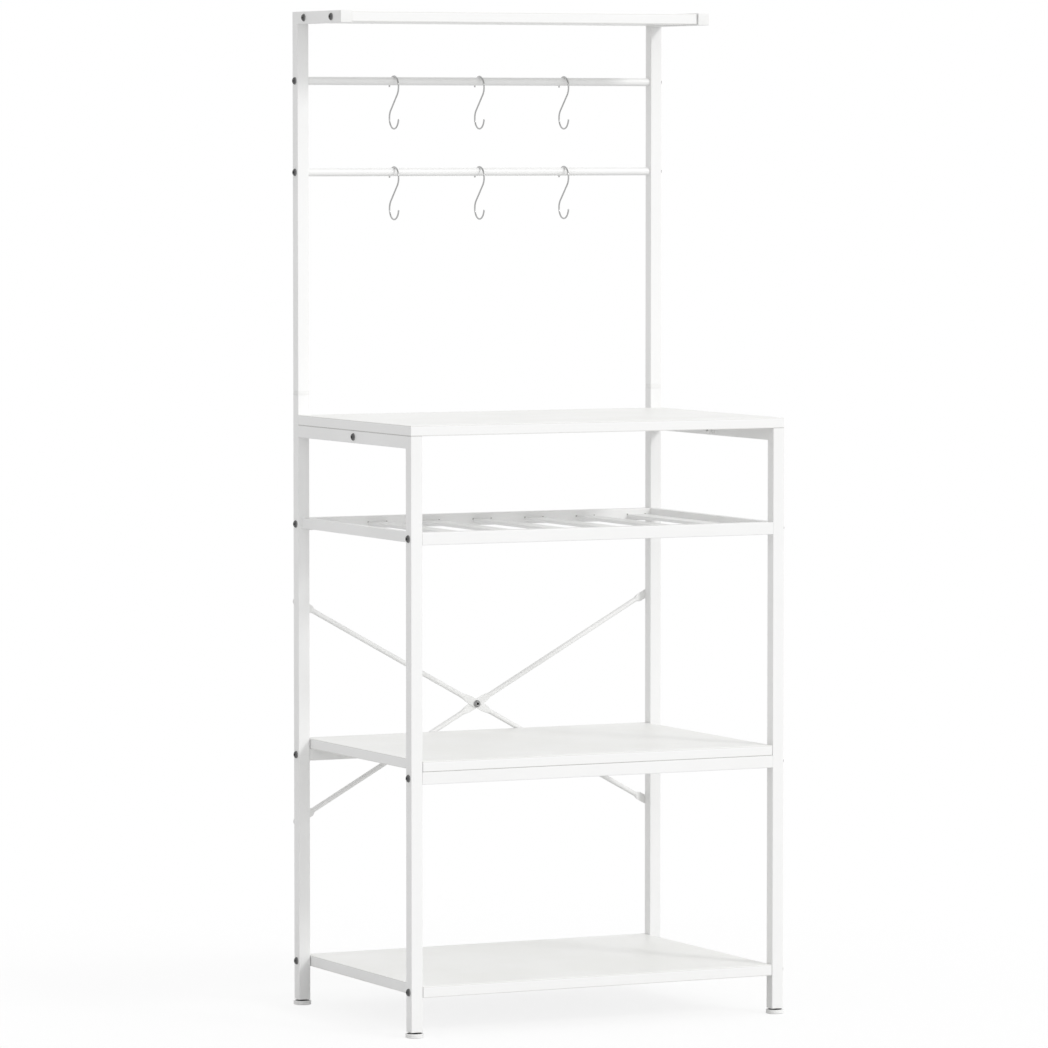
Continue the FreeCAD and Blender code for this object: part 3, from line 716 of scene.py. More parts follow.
def make_piece(name, shapes, finish, body="rack_frame", stands_for=()):
    """Mesh object of shapes, each a dictionary of rows, spots, direction, own, worn, ends_meet.

    A shape's grid is turned so that its own z axis follows the direction, and copied to every spot.
    Each point keeps its own place, before it was bent or put in place, and its share of wear as
    attributes. A share of wear below zero stands for painted shade in a hollow, such as a key
    socket.
    """
    points, quads, fans, own, wear_and_shade = [], [], [], [], []
    start = 0
    for shape in shapes:
        rows = shape["rows"]
        ends_meet = shape.get("ends_meet", False)
        skin, skin_quads, skin_fans = closed_skin(rows, ends_meet)
        spots = np.atleast_2d(shape.get("spots", (0, 0, 0)))
        directions = np.broadcast_to(shape.get("direction", (0, 0, 1)), spots.shape)
        axes = np.stack([axes_along(direction) for direction in directions])
        placed = np.einsum("pk,skc->spc", skin, axes) + spots[:, None, :]
        firsts = start + np.arange(len(spots))[:, None, None] * len(skin)
        quads.append((firsts + skin_quads).reshape(-1, 4))
        fans.append((firsts + skin_fans).reshape(-1, 3))
        points.append(placed.reshape(-1, 3))
        own_skin = closed_skin(shape.get("own", rows), ends_meet)[0]
        own.append(np.tile(own_skin, (len(spots), 1)))
        row_wear = np.broadcast_to(shape.get("wear_and_shade", 0.0), rows.shape[:1])
        end_wear = row_wear[[0, -1]] if len(skin_fans) else row_wear[:0]
        wear = np.concatenate([np.repeat(row_wear, rows.shape[1]), end_wear])
        wear_and_shade.append(np.tile(wear, len(spots)))
        start += len(spots) * len(skin)
    mesh = bpy.data.meshes.new(name)
    faces = np.concatenate(quads).tolist() + np.concatenate(fans).tolist()
    mesh.from_pydata(np.concatenate(points).tolist(), [], faces)
    own_places = mesh.attributes.new("own", "FLOAT_VECTOR", "POINT")
    own_places.data.foreach_set("vector", np.concatenate(own).ravel())
    wear_shares = mesh.attributes.new("wear_and_shade", "FLOAT", "POINT")
    wear_shares.data.foreach_set("value", np.concatenate(wear_and_shade))
    mesh.shade_smooth()
    mesh.set_sharp_from_angle(angle=sharp_angle)
    mesh.materials.append(finish)
    piece = bpy.data.objects.new(name, mesh)
    scene.collection.objects.link(piece)
    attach(piece, body)
    if stands_for:
        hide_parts(*stands_for)
    print(name, "faces", len(mesh.polygons))


print("sharp edges from an angle of", round(sharp_angle, 3))

# %% Helper that finds the copies in a group of solids
reach_long = 0.05
reach_short = 0.016
along_x = (reach_long, reach_short, reach_short)
along_y = (reach_short, reach_long, reach_short)
along_z = (reach_short, reach_short, reach_long)


def boxes_in(node, reach):
    """Lowest and highest corners of each solid in a node, as copies x 2 x 3.

    All points within reach of a first point on every axis belong to its solid. They are taken out,
    and the next point left over starts the next solid.
    """
    mesh = nodes[node].data
    left = np.empty(len(mesh.vertices) * 3, np.float32)
    mesh.vertices.foreach_get("co", left)
    left = left.reshape(-1, 3).astype(float)
    found = []
    while len(left):
        mine = np.all(np.abs(left - left[0]) < reach, axis=1)
        found.append([left[mine].min(axis=0), left[mine].max(axis=0)])
        left = left[~mine]
    return np.array(found)


bolt_boxes = boxes_in("frame_bolts", along_x)
print("frame bolts found:", len(bolt_boxes))

# %% [markdown]
# ## Turned pieces: bolts, nuts, screws and feet
# A bolt, a screw or a foot is a profile that goes round an axis. The profile is a list of radius
# and height. A key socket or a nut is the same with six flats: the radius grows between the flats'
# middles by one over the cosine. A thread is a groove that climbs one pitch in each turn. All this
# could be cut with booleans, which leave ragged meshes, so it is written into the radius instead.

# %% Helpers for turned surfaces
turned_columns = 36


def round_angles(around):
    """Equal angles once round."""
    return np.linspace(0, 2 * math.pi, around, endpoint=False)


def straight(radius, heights):
    """Profile of one radius at many heights."""
    return np.stack([np.full_like(heights, radius), heights], axis=-1)


def eased(points, reach, steps=6):
    """Profile with its inner corners rounded, as an array.

    Each corner gives way to a curve from reach before it to reach after it, or to a third of the
    shorter side where that is less: (1-t)^2 times its start, 2t(1-t) times the corner and t^2 times
    its end.
    """
    line = np.asarray(points, float)
    corner = line[1:-1]
    before = line[:-2] - corner
    after = line[2:] - corner
    length_before = np.linalg.norm(before, axis=1, keepdims=True)
    length_after = np.linalg.norm(after, axis=1, keepdims=True)
    third = np.minimum(length_before, length_after) / 3
    room = np.minimum(np.reshape(reach, (-1, 1)), third)
    curve_start = (corner + before / length_before * room)[:, None]
    curve_end = (corner + after / length_after * room)[:, None]
    t = np.linspace(0, 1, steps)[None, :, None]
    curves = (1 - t) ** 2 * curve_start + 2 * t * (1 - t) * corner[:, None] + t ** 2 * curve_end
    return np.concatenate([line[:1], curves.reshape(-1, line.shape[1]), line[-1:]])


def six_sides(angle):
    """One over the cosine of the angle to the nearest flat's middle: 1.155 at a corner."""
    from_flat = (angle + math.pi / 6) % (math.pi / 3) - math.pi / 6
    return 1 / np.cos(from_flat)


def turned(profile, around=turned_columns, hexagon=0.0):
    """Grid of (radius, height) taken round the z axis; hexagon is each row's share of six sides."""
    angle = round_angles(around)
    radius, height = np.asarray(profile, float).T[:, :, None]
    share = np.broadcast_to(hexagon, (len(profile),))[:, None]
    radius = radius * (1 - share + share * six_sides(angle))
    x = radius * np.cos(angle)
    y = radius * np.sin(angle)
    return np.stack(np.broadcast_arrays(x, y, height), axis=-1)


def with_thread(rows, low, high, pitch, depth):
    """Rows between two heights with a groove: a triangle wave of height less angle, per pitch.

    The groove fades in over one pitch at both ends.
    """
    x, y, z = np.moveaxis(rows, -1, 0)
    turn = np.arctan2(y, x) / (2 * math.pi)
    wave = np.abs(2 * ((z / pitch - turn) % 1) - 1)
    fade = np.clip(np.minimum(z - low, high - z) / pitch, 0, 1)
    radius = np.maximum(np.hypot(x, y), depth)
    shrink = 1 - depth * wave * fade / radius
    return np.stack([x * shrink, y * shrink, z], axis=-1)


print("turning helpers ready")

# %% [markdown]
# ## Button-head bolts
# Twenty-two dark bolts hold the frames, rails, bars and boards together from both sides. Each has a
# low domed head with a hexagon socket for a key. The head could be a squashed sphere. A dome that
# follows a sine rises steeply at the rim and runs flat to the socket, as pressed heads do.

# %% Frame and bracket bolts
bolt_rim = 0.0008
bolt_key = 0.004
bolt_key_depth = 0.002
bolt_pitch = 0.001
bolt_groove = 0.0004
bolt_shank_radius = 0.003
socket_chamfer = 0.0003
rim_wear = 0.6
mouth_wear = 0.7
frame_bolt_thread = 0.018
bracket_bolt_thread = 0.014
rows_per_pitch = 4
dome_rows = 9
bolt_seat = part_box("right_front_leg")[1].x
bolt_head_height = bolt_boxes[..., 0].max() - bolt_seat


def button_bolt(head_radius, head_height, shank_radius, shank_length, threaded_length):
    """Rows and wear of a button-head bolt along z, its seat at zero and its head above.

    The dome's height follows the sine of the share of the way from the rim to the flat top. The
    socket is a hexagon, chamfered round at its mouth. Its inside stores a wear of -1, for painted
    shade.
    """
    key_radius = bolt_key / 2
    thread_end = threaded_length - shank_length
    thread_rows = int(threaded_length / bolt_pitch * rows_per_pitch)
    tip = [(shank_radius - bolt_groove, -shank_length)]
    thread_z = np.linspace(bolt_groove - shank_length, thread_end, thread_rows)
    thread = straight(shank_radius, thread_z)
    neck = [(shank_radius, -bolt_groove), (shank_radius + bolt_groove, 0),
            (head_radius - bolt_rim / 4, 0)]
    rim = [(head_radius, bolt_rim / 4)]
    flat_radius = key_radius + bolt_rim
    climb = np.linspace(0, 1, dome_rows)
    dome = np.stack([head_radius - (head_radius - flat_radius) * climb,
                     bolt_rim + (head_height - bolt_rim) * np.sin(climb * math.pi / 2)], axis=-1)
    mouth = [(key_radius * six_sides(math.pi / 6) + socket_chamfer, head_height)]
    socket_floor = head_height - bolt_key_depth
    socket = [(key_radius, head_height - socket_chamfer), (key_radius, socket_floor),
              (key_radius / 4, socket_floor - key_radius / 4)]
    profile = np.concatenate([tip, thread, neck, rim, dome, mouth, socket])
    dome_end = len(profile) - len(socket) - len(mouth)
    dome_start = dome_end - len(dome)
    hexagon = np.zeros(len(profile))
    hexagon[dome_end + 1:-1] = 1
    wear_and_shade = np.zeros(len(profile))
    wear_and_shade[dome_start - 1:dome_start + 2] = rim_wear
    wear_and_shade[dome_end - 1:dome_end + 2] = mouth_wear
    # Below zero: painted shade inside the key socket.
    wear_and_shade[dome_end + 2:] = -1
    rows = turned(profile, hexagon=hexagon)
    return with_thread(rows, -shank_length, thread_end, bolt_pitch, bolt_groove), wear_and_shade


def bolts_through_sides(name, node, threaded_length):
    """Piece of all bolts in a node that point to the rack's middle, from the solids' own boxes."""
    boxes = boxes_in(node, along_x)
    middle = boxes.mean(axis=1)
    side = np.sign(middle[:, 0])
    head_radius = np.ptp(boxes[0, :, 1]) / 2
    shank_length = bolt_seat - np.abs(boxes[:, :, 0]).min()
    rows, wear_and_shade = button_bolt(head_radius, bolt_head_height, bolt_shank_radius, shank_length,
                             threaded_length)
    spots = np.stack([side * bolt_seat, middle[:, 1], middle[:, 2]], axis=-1)
    bolts = dict(rows=rows, wear_and_shade=wear_and_shade, spots=spots, direction=np.outer(side, (1, 0, 0)))
    make_piece(name, [bolts], black_steel, stands_for=[node])


bolts_through_sides("frame_cap_bolts", "frame_bolts", frame_bolt_thread)
bolts_through_sides("bracket_cap_bolts", "counter_bracket_bolts", bracket_bolt_thread)

# %% [markdown]
# ## The bolt and nut where the brace crosses
# One bright bolt holds the two pressed rods together where they cross, with its nut behind. The
# same nut, painted over, is welded to each bracket under the counter. A nut is a hexagon whose
# corners are cut by a cone at both faces. It could be a bevelled prism. Here its radius is the
# smaller of the hexagon's and the cone's, which gives the curved edge on each flat.

# %% Nuts and the crossing bolt
nut_corner_slope = 1.7
nut_face_share = 0.95
nut_rows_from_face = np.linspace(0, 0.14, 6)
nut_rows_between = np.linspace(0.2, 0.8, 4)
bore_rows = 16
bore_clearance = 0.00005
crossing_thread = 0.008


def hexagon_nut(across_flats, height, bore_radius):
    """Rows of a ring-shaped nut along z from zero: its outside upwards, then its bore downwards.

    Outside, the radius is the smaller of the hexagon's and of a cone that starts inside the flats
    at each face.
    """
    inner = across_flats / 2
    share = np.concatenate([nut_rows_from_face, nut_rows_between, 1 - nut_rows_from_face[::-1]])
    outside = turned(straight(inner, share * height), hexagon=1.0)
    radius = np.hypot(outside[..., 0], outside[..., 1])
    from_face = np.minimum(outside[..., 2], height - outside[..., 2])
    cone = inner * nut_face_share + from_face * nut_corner_slope
    outside[..., :2] *= (np.minimum(radius, cone) / radius)[..., None]
    flare = bore_radius + bolt_groove
    bore = straight(bore_radius, np.linspace(height - bolt_groove, bolt_groove, bore_rows))
    inside = np.concatenate([[(flare, height)], bore, [(flare, 0)]])
    return np.concatenate([outside, turned(inside)])


cross_low, cross_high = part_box("brace_cross_bolt")
nut_low, nut_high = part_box("brace_cross_nut")
cross_middle = (nut_low + nut_high) / 2
cross_seat = cross_low.y + bolt_head_height
cross_rows, cross_wear_and_shade = button_bolt((cross_high.x - cross_low.x) / 2, bolt_head_height,
                                     bolt_shank_radius, cross_high.y - cross_seat, crossing_thread)
cross_bolt = dict(rows=cross_rows, wear_and_shade=cross_wear_and_shade, direction=(0, -1, 0),
                  spots=(cross_middle.x, cross_seat, cross_middle.z))
make_piece("crossing_cap_bolt", [cross_bolt], bright_zinc,
           stands_for=["brace_cross_bolt"])

nut_rows = hexagon_nut(nut_high.z - nut_low.z, nut_high.y - nut_low.y,
                       bolt_shank_radius + bore_clearance)
cross_nut = dict(rows=nut_rows, ends_meet=True, direction=(0, 1, 0),
                 spots=(cross_middle.x, nut_low.y, cross_middle.z))
make_piece("crossing_nut", [cross_nut], bright_zinc, stands_for=["brace_cross_nut"])

bracket_nut_boxes = boxes_in("counter_bracket_nuts", along_x)
nut_side = np.sign(bracket_nut_boxes[:, 0, 0])
bracket_nut_spots = bracket_nut_boxes.mean(axis=1)
bracket_nut_spots[:, 0] = nut_side * np.abs(bracket_nut_boxes[..., 0]).max()
bracket_nuts = dict(rows=nut_rows, ends_meet=True, spots=bracket_nut_spots,
                    direction=np.outer(-nut_side, (1, 0, 0)))
make_piece("bracket_weld_nuts", [bracket_nuts], bead_paint,
           stands_for=["counter_bracket_nuts"])

# %% [markdown]
# ## Pan-head screws
# Small screws hold the brace's ends to the rear legs, the brackets to the counter and the middle
# shelf to its rails. Each head is a low pan with a cross recess for the driver. A recess could be a
# boolean cut. Here it is one more formula: points near the two crossed slots sink by the slot's
# depth, with a steep smooth wall.

# %% Screws
screw_pitch = 0.0014
screw_groove = 0.0005
screw_tip = 0.003
screw_head_height = 0.0024
screw_shank_radius = 0.002
screw_edge_ease = 0.0008
screw_edge_share = 0.6
screw_flat_share = 0.72
screw_top_share = 0.9
screw_columns = 48
screw_rows_per_pitch = 6
recess_rows = 34
recess_middle = 0.01
slot_half_width = 0.00055
slot_reach = 0.0022
slot_depth = 0.0013
slot_wall = 0.00025
bracket_screw_reach = (0.006, 0.006, reach_long)


def smooth_step(value, low, high):
    """0 below low, 1 above high, and 3t^2 - 2t^3 between."""
    t = np.clip((value - low) / (high - low), 0, 1)
    return t * t * (3 - 2 * t)


def pan_screw(head_radius, shank_length):
    """Rows of a screw along z, its seat at zero: pointed thread, pan head, cross recess."""
    shank_rows = int(shank_length / screw_pitch * screw_rows_per_pitch)
    shank = straight(screw_shank_radius, np.linspace(screw_tip - shank_length, 0, shank_rows))
    outline = [(screw_shank_radius, 0), (head_radius, 0),
               (head_radius, screw_head_height * screw_edge_share),
               (head_radius * screw_flat_share, screw_head_height), (0, screw_head_height)]
    edge = eased(outline, screw_edge_ease)
    top_radius = np.linspace(edge[-2, 0], head_radius * recess_middle, recess_rows)
    top = np.stack([top_radius, np.full_like(top_radius, screw_head_height)], axis=-1)
    point = [(screw_groove / 4, -shank_length)]
    rows = turned(np.concatenate([point, shank, edge[:-1], top[1:]]), screw_columns)
    rows = with_thread(rows, -shank_length, -screw_pitch, screw_pitch, screw_groove)
    across = np.abs(rows[..., :2])
    in_slot = 1 - smooth_step(across.min(axis=-1), slot_half_width - slot_wall, slot_half_width)
    in_reach = 1 - smooth_step(across.max(axis=-1), slot_reach - slot_wall, slot_reach)
    top_start = screw_head_height * screw_top_share
    on_top = smooth_step(rows[..., 2], top_start, screw_head_height)
    rows[..., 2] -= slot_depth * in_slot * in_reach * on_top
    return rows


def screws_in(name, node, reach, direction, finish):
    """Piece of all screws in a node whose heads face along one axis, from the solids' boxes."""
    boxes = boxes_in(node, reach)
    axis = int(np.argmax(np.abs(direction)))
    way = np.sum(direction)
    face = int(way > 0)
    head_radius = np.ptp(boxes[0, :, (axis + 1) % 3]) / 2
    rows = pan_screw(head_radius, np.ptp(boxes[0, :, axis]) - screw_head_height)
    spots = boxes.mean(axis=1)
    spots[:, axis] = boxes[:, face, axis] - way * screw_head_height
    screws = dict(rows=rows, spots=spots, direction=direction)
    make_piece(name, [screws], finish, stands_for=[node])


screws_in("brace_pan_screws", "brace_end_screws", along_y, (0, 1, 0), black_steel)
screws_in("bracket_pan_screws", "counter_bracket_screws", bracket_screw_reach, (0, 0, -1),
          dull_zinc)
screws_in("shelf_pan_screws", "middle_shelf_screws", along_z, (0, 0, -1), dull_zinc)

# %% [markdown]
# ## Levelling feet
# Each leg stands on a round plastic pad moulded onto a threaded stud, so the rack can be set level
# on an uneven floor. The pad is a low drum with a soft upper edge and a mould line round it. A
# bevelled cylinder would do for the drum, but a profile also holds the mould line. The stud shows
# only in the narrow gap under the leg, where its thread catches a little light. A thin dark disc
# round its foot is painted shade, which darkens that gap.

# %% Pads and studs
stud_pitch = 0.00125
stud_groove = 0.0007
stud_radius = 0.004
shade_disc_radius = 0.0108
shade_disc_height = 0.0003
pad_height = 0.006
mould_line = 0.00025
pad_bottom_shares = np.array([0.86, 0.9])
pad_side_shares = np.array([0.12, 0.42, 0.45, 0.5, 0.53])
pad_ease = [0.0003, 0.0004, 0.0003, 0.0001, 0.0001, 0.0001, 0.0016]
pad_columns = 64
stud_columns = 32
stud_rows_per_pitch = 6


def foot_pad(radius):
    """Rows of a pad along z from zero: bottom edge, side with a mould line, soft shoulder, top."""
    inner, outer = radius * pad_bottom_shares
    foot, below, line_low, line_high, above = pad_height * pad_side_shares
    groove = radius - mould_line
    outline = [(inner, 0.0), (outer, 0.0), (radius, foot), (radius, below), (groove, line_low),
               (groove, line_high), (radius, above), (radius, pad_height),
               (stud_radius, pad_height)]
    return turned(eased(outline, pad_ease), pad_columns)


def foot_stud(length):
    """Rows of a stud along z: a thin disc of painted shade in the pad's top, then the thread and
    its tip.
    """
    disc = [(shade_disc_radius, -shade_disc_height), (shade_disc_radius, shade_disc_height), (stud_radius, shade_disc_height)]
    thread_rows = int(length / stud_pitch * stud_rows_per_pitch)
    thread_z = np.linspace(2 * shade_disc_height, length - stud_groove, thread_rows)
    tip = [(stud_radius - stud_groove, length)]
    rows = turned(np.concatenate([disc, straight(stud_radius, thread_z), tip]), stud_columns)
    return with_thread(rows, shade_disc_height, length, stud_pitch, stud_groove)


for name in [node for node in nodes if node.endswith("_foot")]:
    low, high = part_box(name)
    middle = (low + high) / 2
    pad = dict(rows=foot_pad(min(high.x - low.x, high.y - low.y) / 2),
               spots=(middle.x, middle.y, low.z))
    stud = dict(rows=foot_stud(high.z - low.z - pad_height),
                spots=(middle.x, middle.y, low.z + pad_height))
    make_piece(name + "_pad", [pad], moulded_plastic, body=name, stands_for=[name])
    make_piece(name + "_stud", [stud], black_steel, body=name)

# %% [markdown]
# ## Moulded fittings with square outlines
# White plastic caps close the arms' front ends, and collars join the upper posts to the legs. They
# are stacks of rounded squares: a profile gives each section's half width and height, and every
# section is a square with quarter-circle corners. Bevelled boxes would look alike from afar. Here
# each edge is eased by its own measure, so that a thin shadow line shows where plastic meets tube,
# as on the real rack.

# %% Caps and collars
tube_half = (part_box("left_upper_post")[1].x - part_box("left_upper_post")[0].x) / 2
tube_corner = 0.001
tube_wall_and_play = 0.00125
plug_half = tube_half - tube_wall_and_play
plug_corner = 0.0008
plug_lead_share = 0.9
plug_lead = plug_half * plug_lead_share
edge_ease = 0.0005
cap_front_ease = 0.0009
cap_crown_ease = 0.002
cap_edge_share = 0.95
cap_crown_share = 0.5
cap_middle_share = 0.1


def square_stack(profile, steps=6):
    """Grid of rounded squares along z from (half width, height) rows.

    A point is its corner's centre plus the corner's radius at a turning angle.
    """
    half, height = np.asarray(profile, float).T[:, :, None]
    corner = np.where(half > plug_half, tube_corner - (tube_half - half), plug_corner)
    corner = np.minimum(np.maximum(corner, edge_ease), half)
    turn = np.linspace(0, math.pi / 2, steps)
    angle = (np.arange(4)[:, None] * math.pi / 2 + turn).ravel()
    sign = np.repeat([[1, 1], [-1, 1], [-1, -1], [1, -1]], steps, axis=0).T
    x = sign[0] * (half - corner) + corner * np.cos(angle)
    y = sign[1] * (half - corner) + corner * np.sin(angle)
    return np.stack(np.broadcast_arrays(x, y, height), axis=-1)


def arm_cap_rows(face, plug):
    """Rows of an arm cap: plug below zero, face plate above, its middle a hair proud."""
    outline = [(plug_lead, -plug), (plug_half, -plug), (plug_half, 0), (tube_half, 0),
               (tube_half, face * cap_edge_share), (tube_half * cap_crown_share, face),
               (tube_half * cap_middle_share, face)]
    reach = [edge_ease, edge_ease / 4, edge_ease / 2, cap_front_ease, cap_crown_ease]
    return square_stack(eased(outline, reach))


def collar_rows(collar, spigot):
    """Rows of a post collar from its lower to its upper spigot's end; the collar starts at zero."""
    top = collar + spigot
    outline = [(plug_lead, -spigot), (plug_half, -spigot), (plug_half, 0), (tube_half, 0),
               (tube_half, collar), (plug_half, collar), (plug_half, top), (plug_lead, top)]
    reach = [edge_ease, edge_ease / 4, edge_ease, edge_ease, edge_ease / 4, edge_ease]
    return square_stack(eased(outline, reach))


cap_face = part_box("left_top_arm")[0].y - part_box("left_arm_cap")[0].y
collar_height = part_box("left_upper_post")[0].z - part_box("left_rear_leg")[1].z
for side in ("left", "right"):
    low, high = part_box(side + "_arm_cap")
    middle = (low + high) / 2
    cap = dict(rows=arm_cap_rows(cap_face, high.y - low.y - cap_face),
               spots=(middle.x, low.y + cap_face, middle.z), direction=(0, -1, 0))
    make_piece(side + "_arm_end_cap", [cap], moulded_plastic,
               stands_for=[side + "_arm_cap"])
    low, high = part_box(side + "_post_connector")
    middle = (low + high) / 2
    leg_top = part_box(side + "_rear_leg")[1].z
    spigot = (high.z - low.z - collar_height) / 2
    collar = dict(rows=collar_rows(collar_height, spigot), spots=(middle.x, middle.y, leg_top))
    make_piece(side + "_post_collar", [collar], moulded_plastic,
               stands_for=[side + "_post_connector"])

# %% [markdown]
# ## Plugs for the feet
# A plastic plug sits in each leg's lower end and takes the foot's stud. It is square outside and
# round inside. A hole could be drilled with a boolean. A ring needs none: the rows go up the
# outside and come down the bore, and the last row joins the first.

# %% Plugs with a bore for the stud
plug_reach = (0.03, 0.03, reach_long)


def leg_plug_rows(flange, height, bore_radius):
    """Rows of a ring-shaped plug along z: square outside upwards, then a round bore downwards.

    The bore's points take the angles of the square's points, so that the flat ends stay untwisted.
    """
    outline = [(tube_half - edge_ease, 0), (tube_half, 0), (tube_half, flange), (plug_half, flange),
               (plug_half, height), (plug_half - edge_ease, height)]
    outside = square_stack(eased(outline, edge_ease / 2))
    angle = np.arctan2(outside[0, :, 1], outside[0, :, 0])
    circle = np.stack([np.cos(angle), np.sin(angle), 0 * angle], axis=-1) * bore_radius
    bore = circle + np.array([[[0, 0, height]], [[0, 0, height / 2]], [[0, 0, 0]]])
    return np.concatenate([outside, bore])


plug_boxes = boxes_in("leg_plugs", plug_reach)
plug_spots = plug_boxes.mean(axis=1)
plug_spots[:, 2] = plug_boxes[:, 0, 2]
plug_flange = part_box("left_front_leg")[0].z - plug_boxes[0, 0, 2]
plug_rows = leg_plug_rows(plug_flange, np.ptp(plug_boxes[0, :, 2]), stud_radius + bore_clearance)
plugs = dict(rows=plug_rows, ends_meet=True, spots=plug_spots)
make_piece("leg_end_plugs", [plugs], moulded_plastic, stands_for=["leg_plugs"])

# %% [markdown]
# ## Hooks of bent wire
# Six S-hooks hang on the bars. Each is a length of plated wire bent to two equal arcs with a
# straight shank between them, sheared off square at the ends. A bevelled curve would give the same
# tube. A circle carried along the line's own formula also gives every point its place along the
# straight wire, so the drawn lines follow the bends.

# %% Hooks
hook_around = 24
hook_step = 0.0008
hook_end_ease = 0.0006
hook_end_share = 0.75
hook_tip_short = math.radians(7)


def carried_circle(path, plane_normal, radius, around):
    """Grid of circles carried along a flat path, on the plane's normal and its cross product."""
    tangent = np.gradient(path, axis=0)
    tangent /= np.linalg.norm(tangent, axis=1, keepdims=True)
    normal = np.asarray(plane_normal, float)
    across = np.cross(tangent, normal)
    angle = round_angles(around)[:, None]
    ring = np.cos(angle) * normal + np.sin(angle) * across[:, None, :]
    return path[:, None, :] + np.reshape(radius, (-1, 1, 1)) * ring


def hook_line(low, high):
    """Points of an S in the yz plane, and their distance along the wire, from a hook's box.

    Forwards is -y. From the tail behind the bar the upper arc runs over the top to the front, the
    shank is the inner tangent of both arcs, and the lower arc is the upper one turned half round,
    with its tip a little shorter.
    """
    wire = high.x - low.x
    bend = (high.y - low.y - wire) / 2
    half_span = (high.z - low.z - wire) / 2 - bend
    lean = math.asin(bend / half_span)
    arc = bend * (math.pi + lean)
    shank = 2 * math.sqrt(half_span ** 2 - bend ** 2)
    length = 2 * arc + shank - bend * hook_tip_short
    ease = np.linspace(0, hook_end_ease, 4)
    inner_end = length - 2 * hook_end_ease
    inner = np.linspace(2 * hook_end_ease, inner_end, int(length / hook_step))
    along = np.concatenate([ease, inner, length - ease[::-1]])

    def upper(distance):
        angle = math.pi - distance / bend
        return np.stack([bend * np.cos(angle), half_span + bend * np.sin(angle)], axis=-1)

    share = ((along - arc) / shank)[:, None]
    turn_point = upper(np.array(arc))
    line = np.where(share < 0, upper(np.minimum(along, arc)), turn_point * (1 - 2 * share))
    mirrored = -upper(np.minimum(2 * arc + shank - along, arc))
    line = np.where(share > 1, mirrored, line)
    middle = (low + high) / 2
    points = [0 * along + middle.x, middle.y - line[:, 0], middle.z + line[:, 1]]
    return np.stack(points, axis=-1), along


def hook_shape(low, high):
    """Shape of a hook: bent rows, the same rows on the straight wire, and raw metal at the ends."""
    path, along = hook_line(low, high)
    whole = smooth_step(np.minimum(along, along[-1] - along), 0, hook_end_ease)
    radius = (high.x - low.x) / 2 * (hook_end_share + (1 - hook_end_share) * whole)
    straight = turned(np.stack([radius, along], axis=-1), hook_around)
    bent = carried_circle(path, (1, 0, 0), radius, hook_around)
    return dict(rows=bent, own=straight, wear_and_shade=1 - whole)


for name in [node for node in nodes if "_hook_" in node and not node.endswith("_bar")]:
    make_piece(name + "_wire", [hook_shape(*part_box(name))], hook_wire_finish,
               body=name, stands_for=[name])

# %% [markdown]
# ## The crossed brace
# Two round rods cross behind the rack and keep it from leaning sideways. Each is a thin tube,
# pressed flat at its ends, where a screw goes through, and at the middle, where both rods are
# bolted together. Pressing spreads the tube, so a flat is wider than the round. The rod could be
# lofted by hand between a few sections. Here the section slides between a circle and a rounded
# flat: a superellipse whose two half widths and whose power all follow the same pressed share.

# %% Brace rods
brace_gap = 0.0003
brace_flat_thickness = 0.002
brace_flat_width = 0.012
brace_cross_flat = 0.024
brace_cross_taper = 0.016
brace_end_flat = 0.021
brace_end_taper = 0.007
brace_beyond_screw = 0.01
round_power = 2.0
flat_power = 6.0
taper_rows = 17
span_rows = 12
eye_rows = 15
eye_tip = 0.02


def pressed_rod(screw_station, diameter, cross_offset):
    """Rows of a brace rod along z: x is the depth behind the legs and y the width across.

    The pressed share is 1 at the middle and at the ends and eases to 0 over the tapers. A section
    has x = offset + depth * |cos|^(2/power) and y = width * |sin|^(2/power), each with its sign.
    Past the eye's middle the width shrinks as a half circle.
    """
    eye_radius = brace_flat_width / 2
    eye = screw_station + brace_beyond_screw - eye_radius
    flat_start = screw_station - brace_end_flat
    end_round = flat_start - brace_end_taper
    cross_half = brace_cross_flat / 2
    cross_round = cross_half + brace_cross_taper
    eye_turn = np.linspace(0, math.pi / 2 - eye_tip, eye_rows)
    half = np.concatenate([[0, cross_half - brace_cross_taper / 8],
                           np.linspace(cross_half, cross_round, taper_rows),
                           np.linspace(cross_round, end_round, span_rows)[1:-1],
                           np.linspace(end_round, flat_start, taper_rows),
                           eye + eye_radius * np.sin(eye_turn)])
    z = np.concatenate([-half[:0:-1], half])[:, None]
    reach = np.abs(z)
    at_middle = 1 - smooth_step(reach, cross_half, cross_round)
    at_end = smooth_step(reach, end_round, flat_start)
    pressed = at_middle + at_end
    past_eye = np.clip((reach - eye) / eye_radius, 0, 1)
    depth = diameter / 2 + (brace_flat_thickness - diameter) / 2 * pressed
    width = diameter / 2 + (brace_flat_width - diameter) / 2 * pressed
    width = width * np.sqrt(1 - past_eye ** 2)
    round_offset = brace_gap + diameter / 2
    offset = round_offset + (cross_offset - round_offset) * at_middle
    offset = offset + (brace_flat_thickness / 2 - round_offset) * at_end
    power = round_power + (flat_power - round_power) * pressed
    angle = round_angles(turned_columns)
    x = offset + depth * np.sign(np.cos(angle)) * np.abs(np.cos(angle)) ** (2 / power)
    y = width * np.sign(np.sin(angle)) * np.abs(np.sin(angle)) ** (2 / power)
    return np.stack(np.broadcast_arrays(x, y, z), axis=-1)


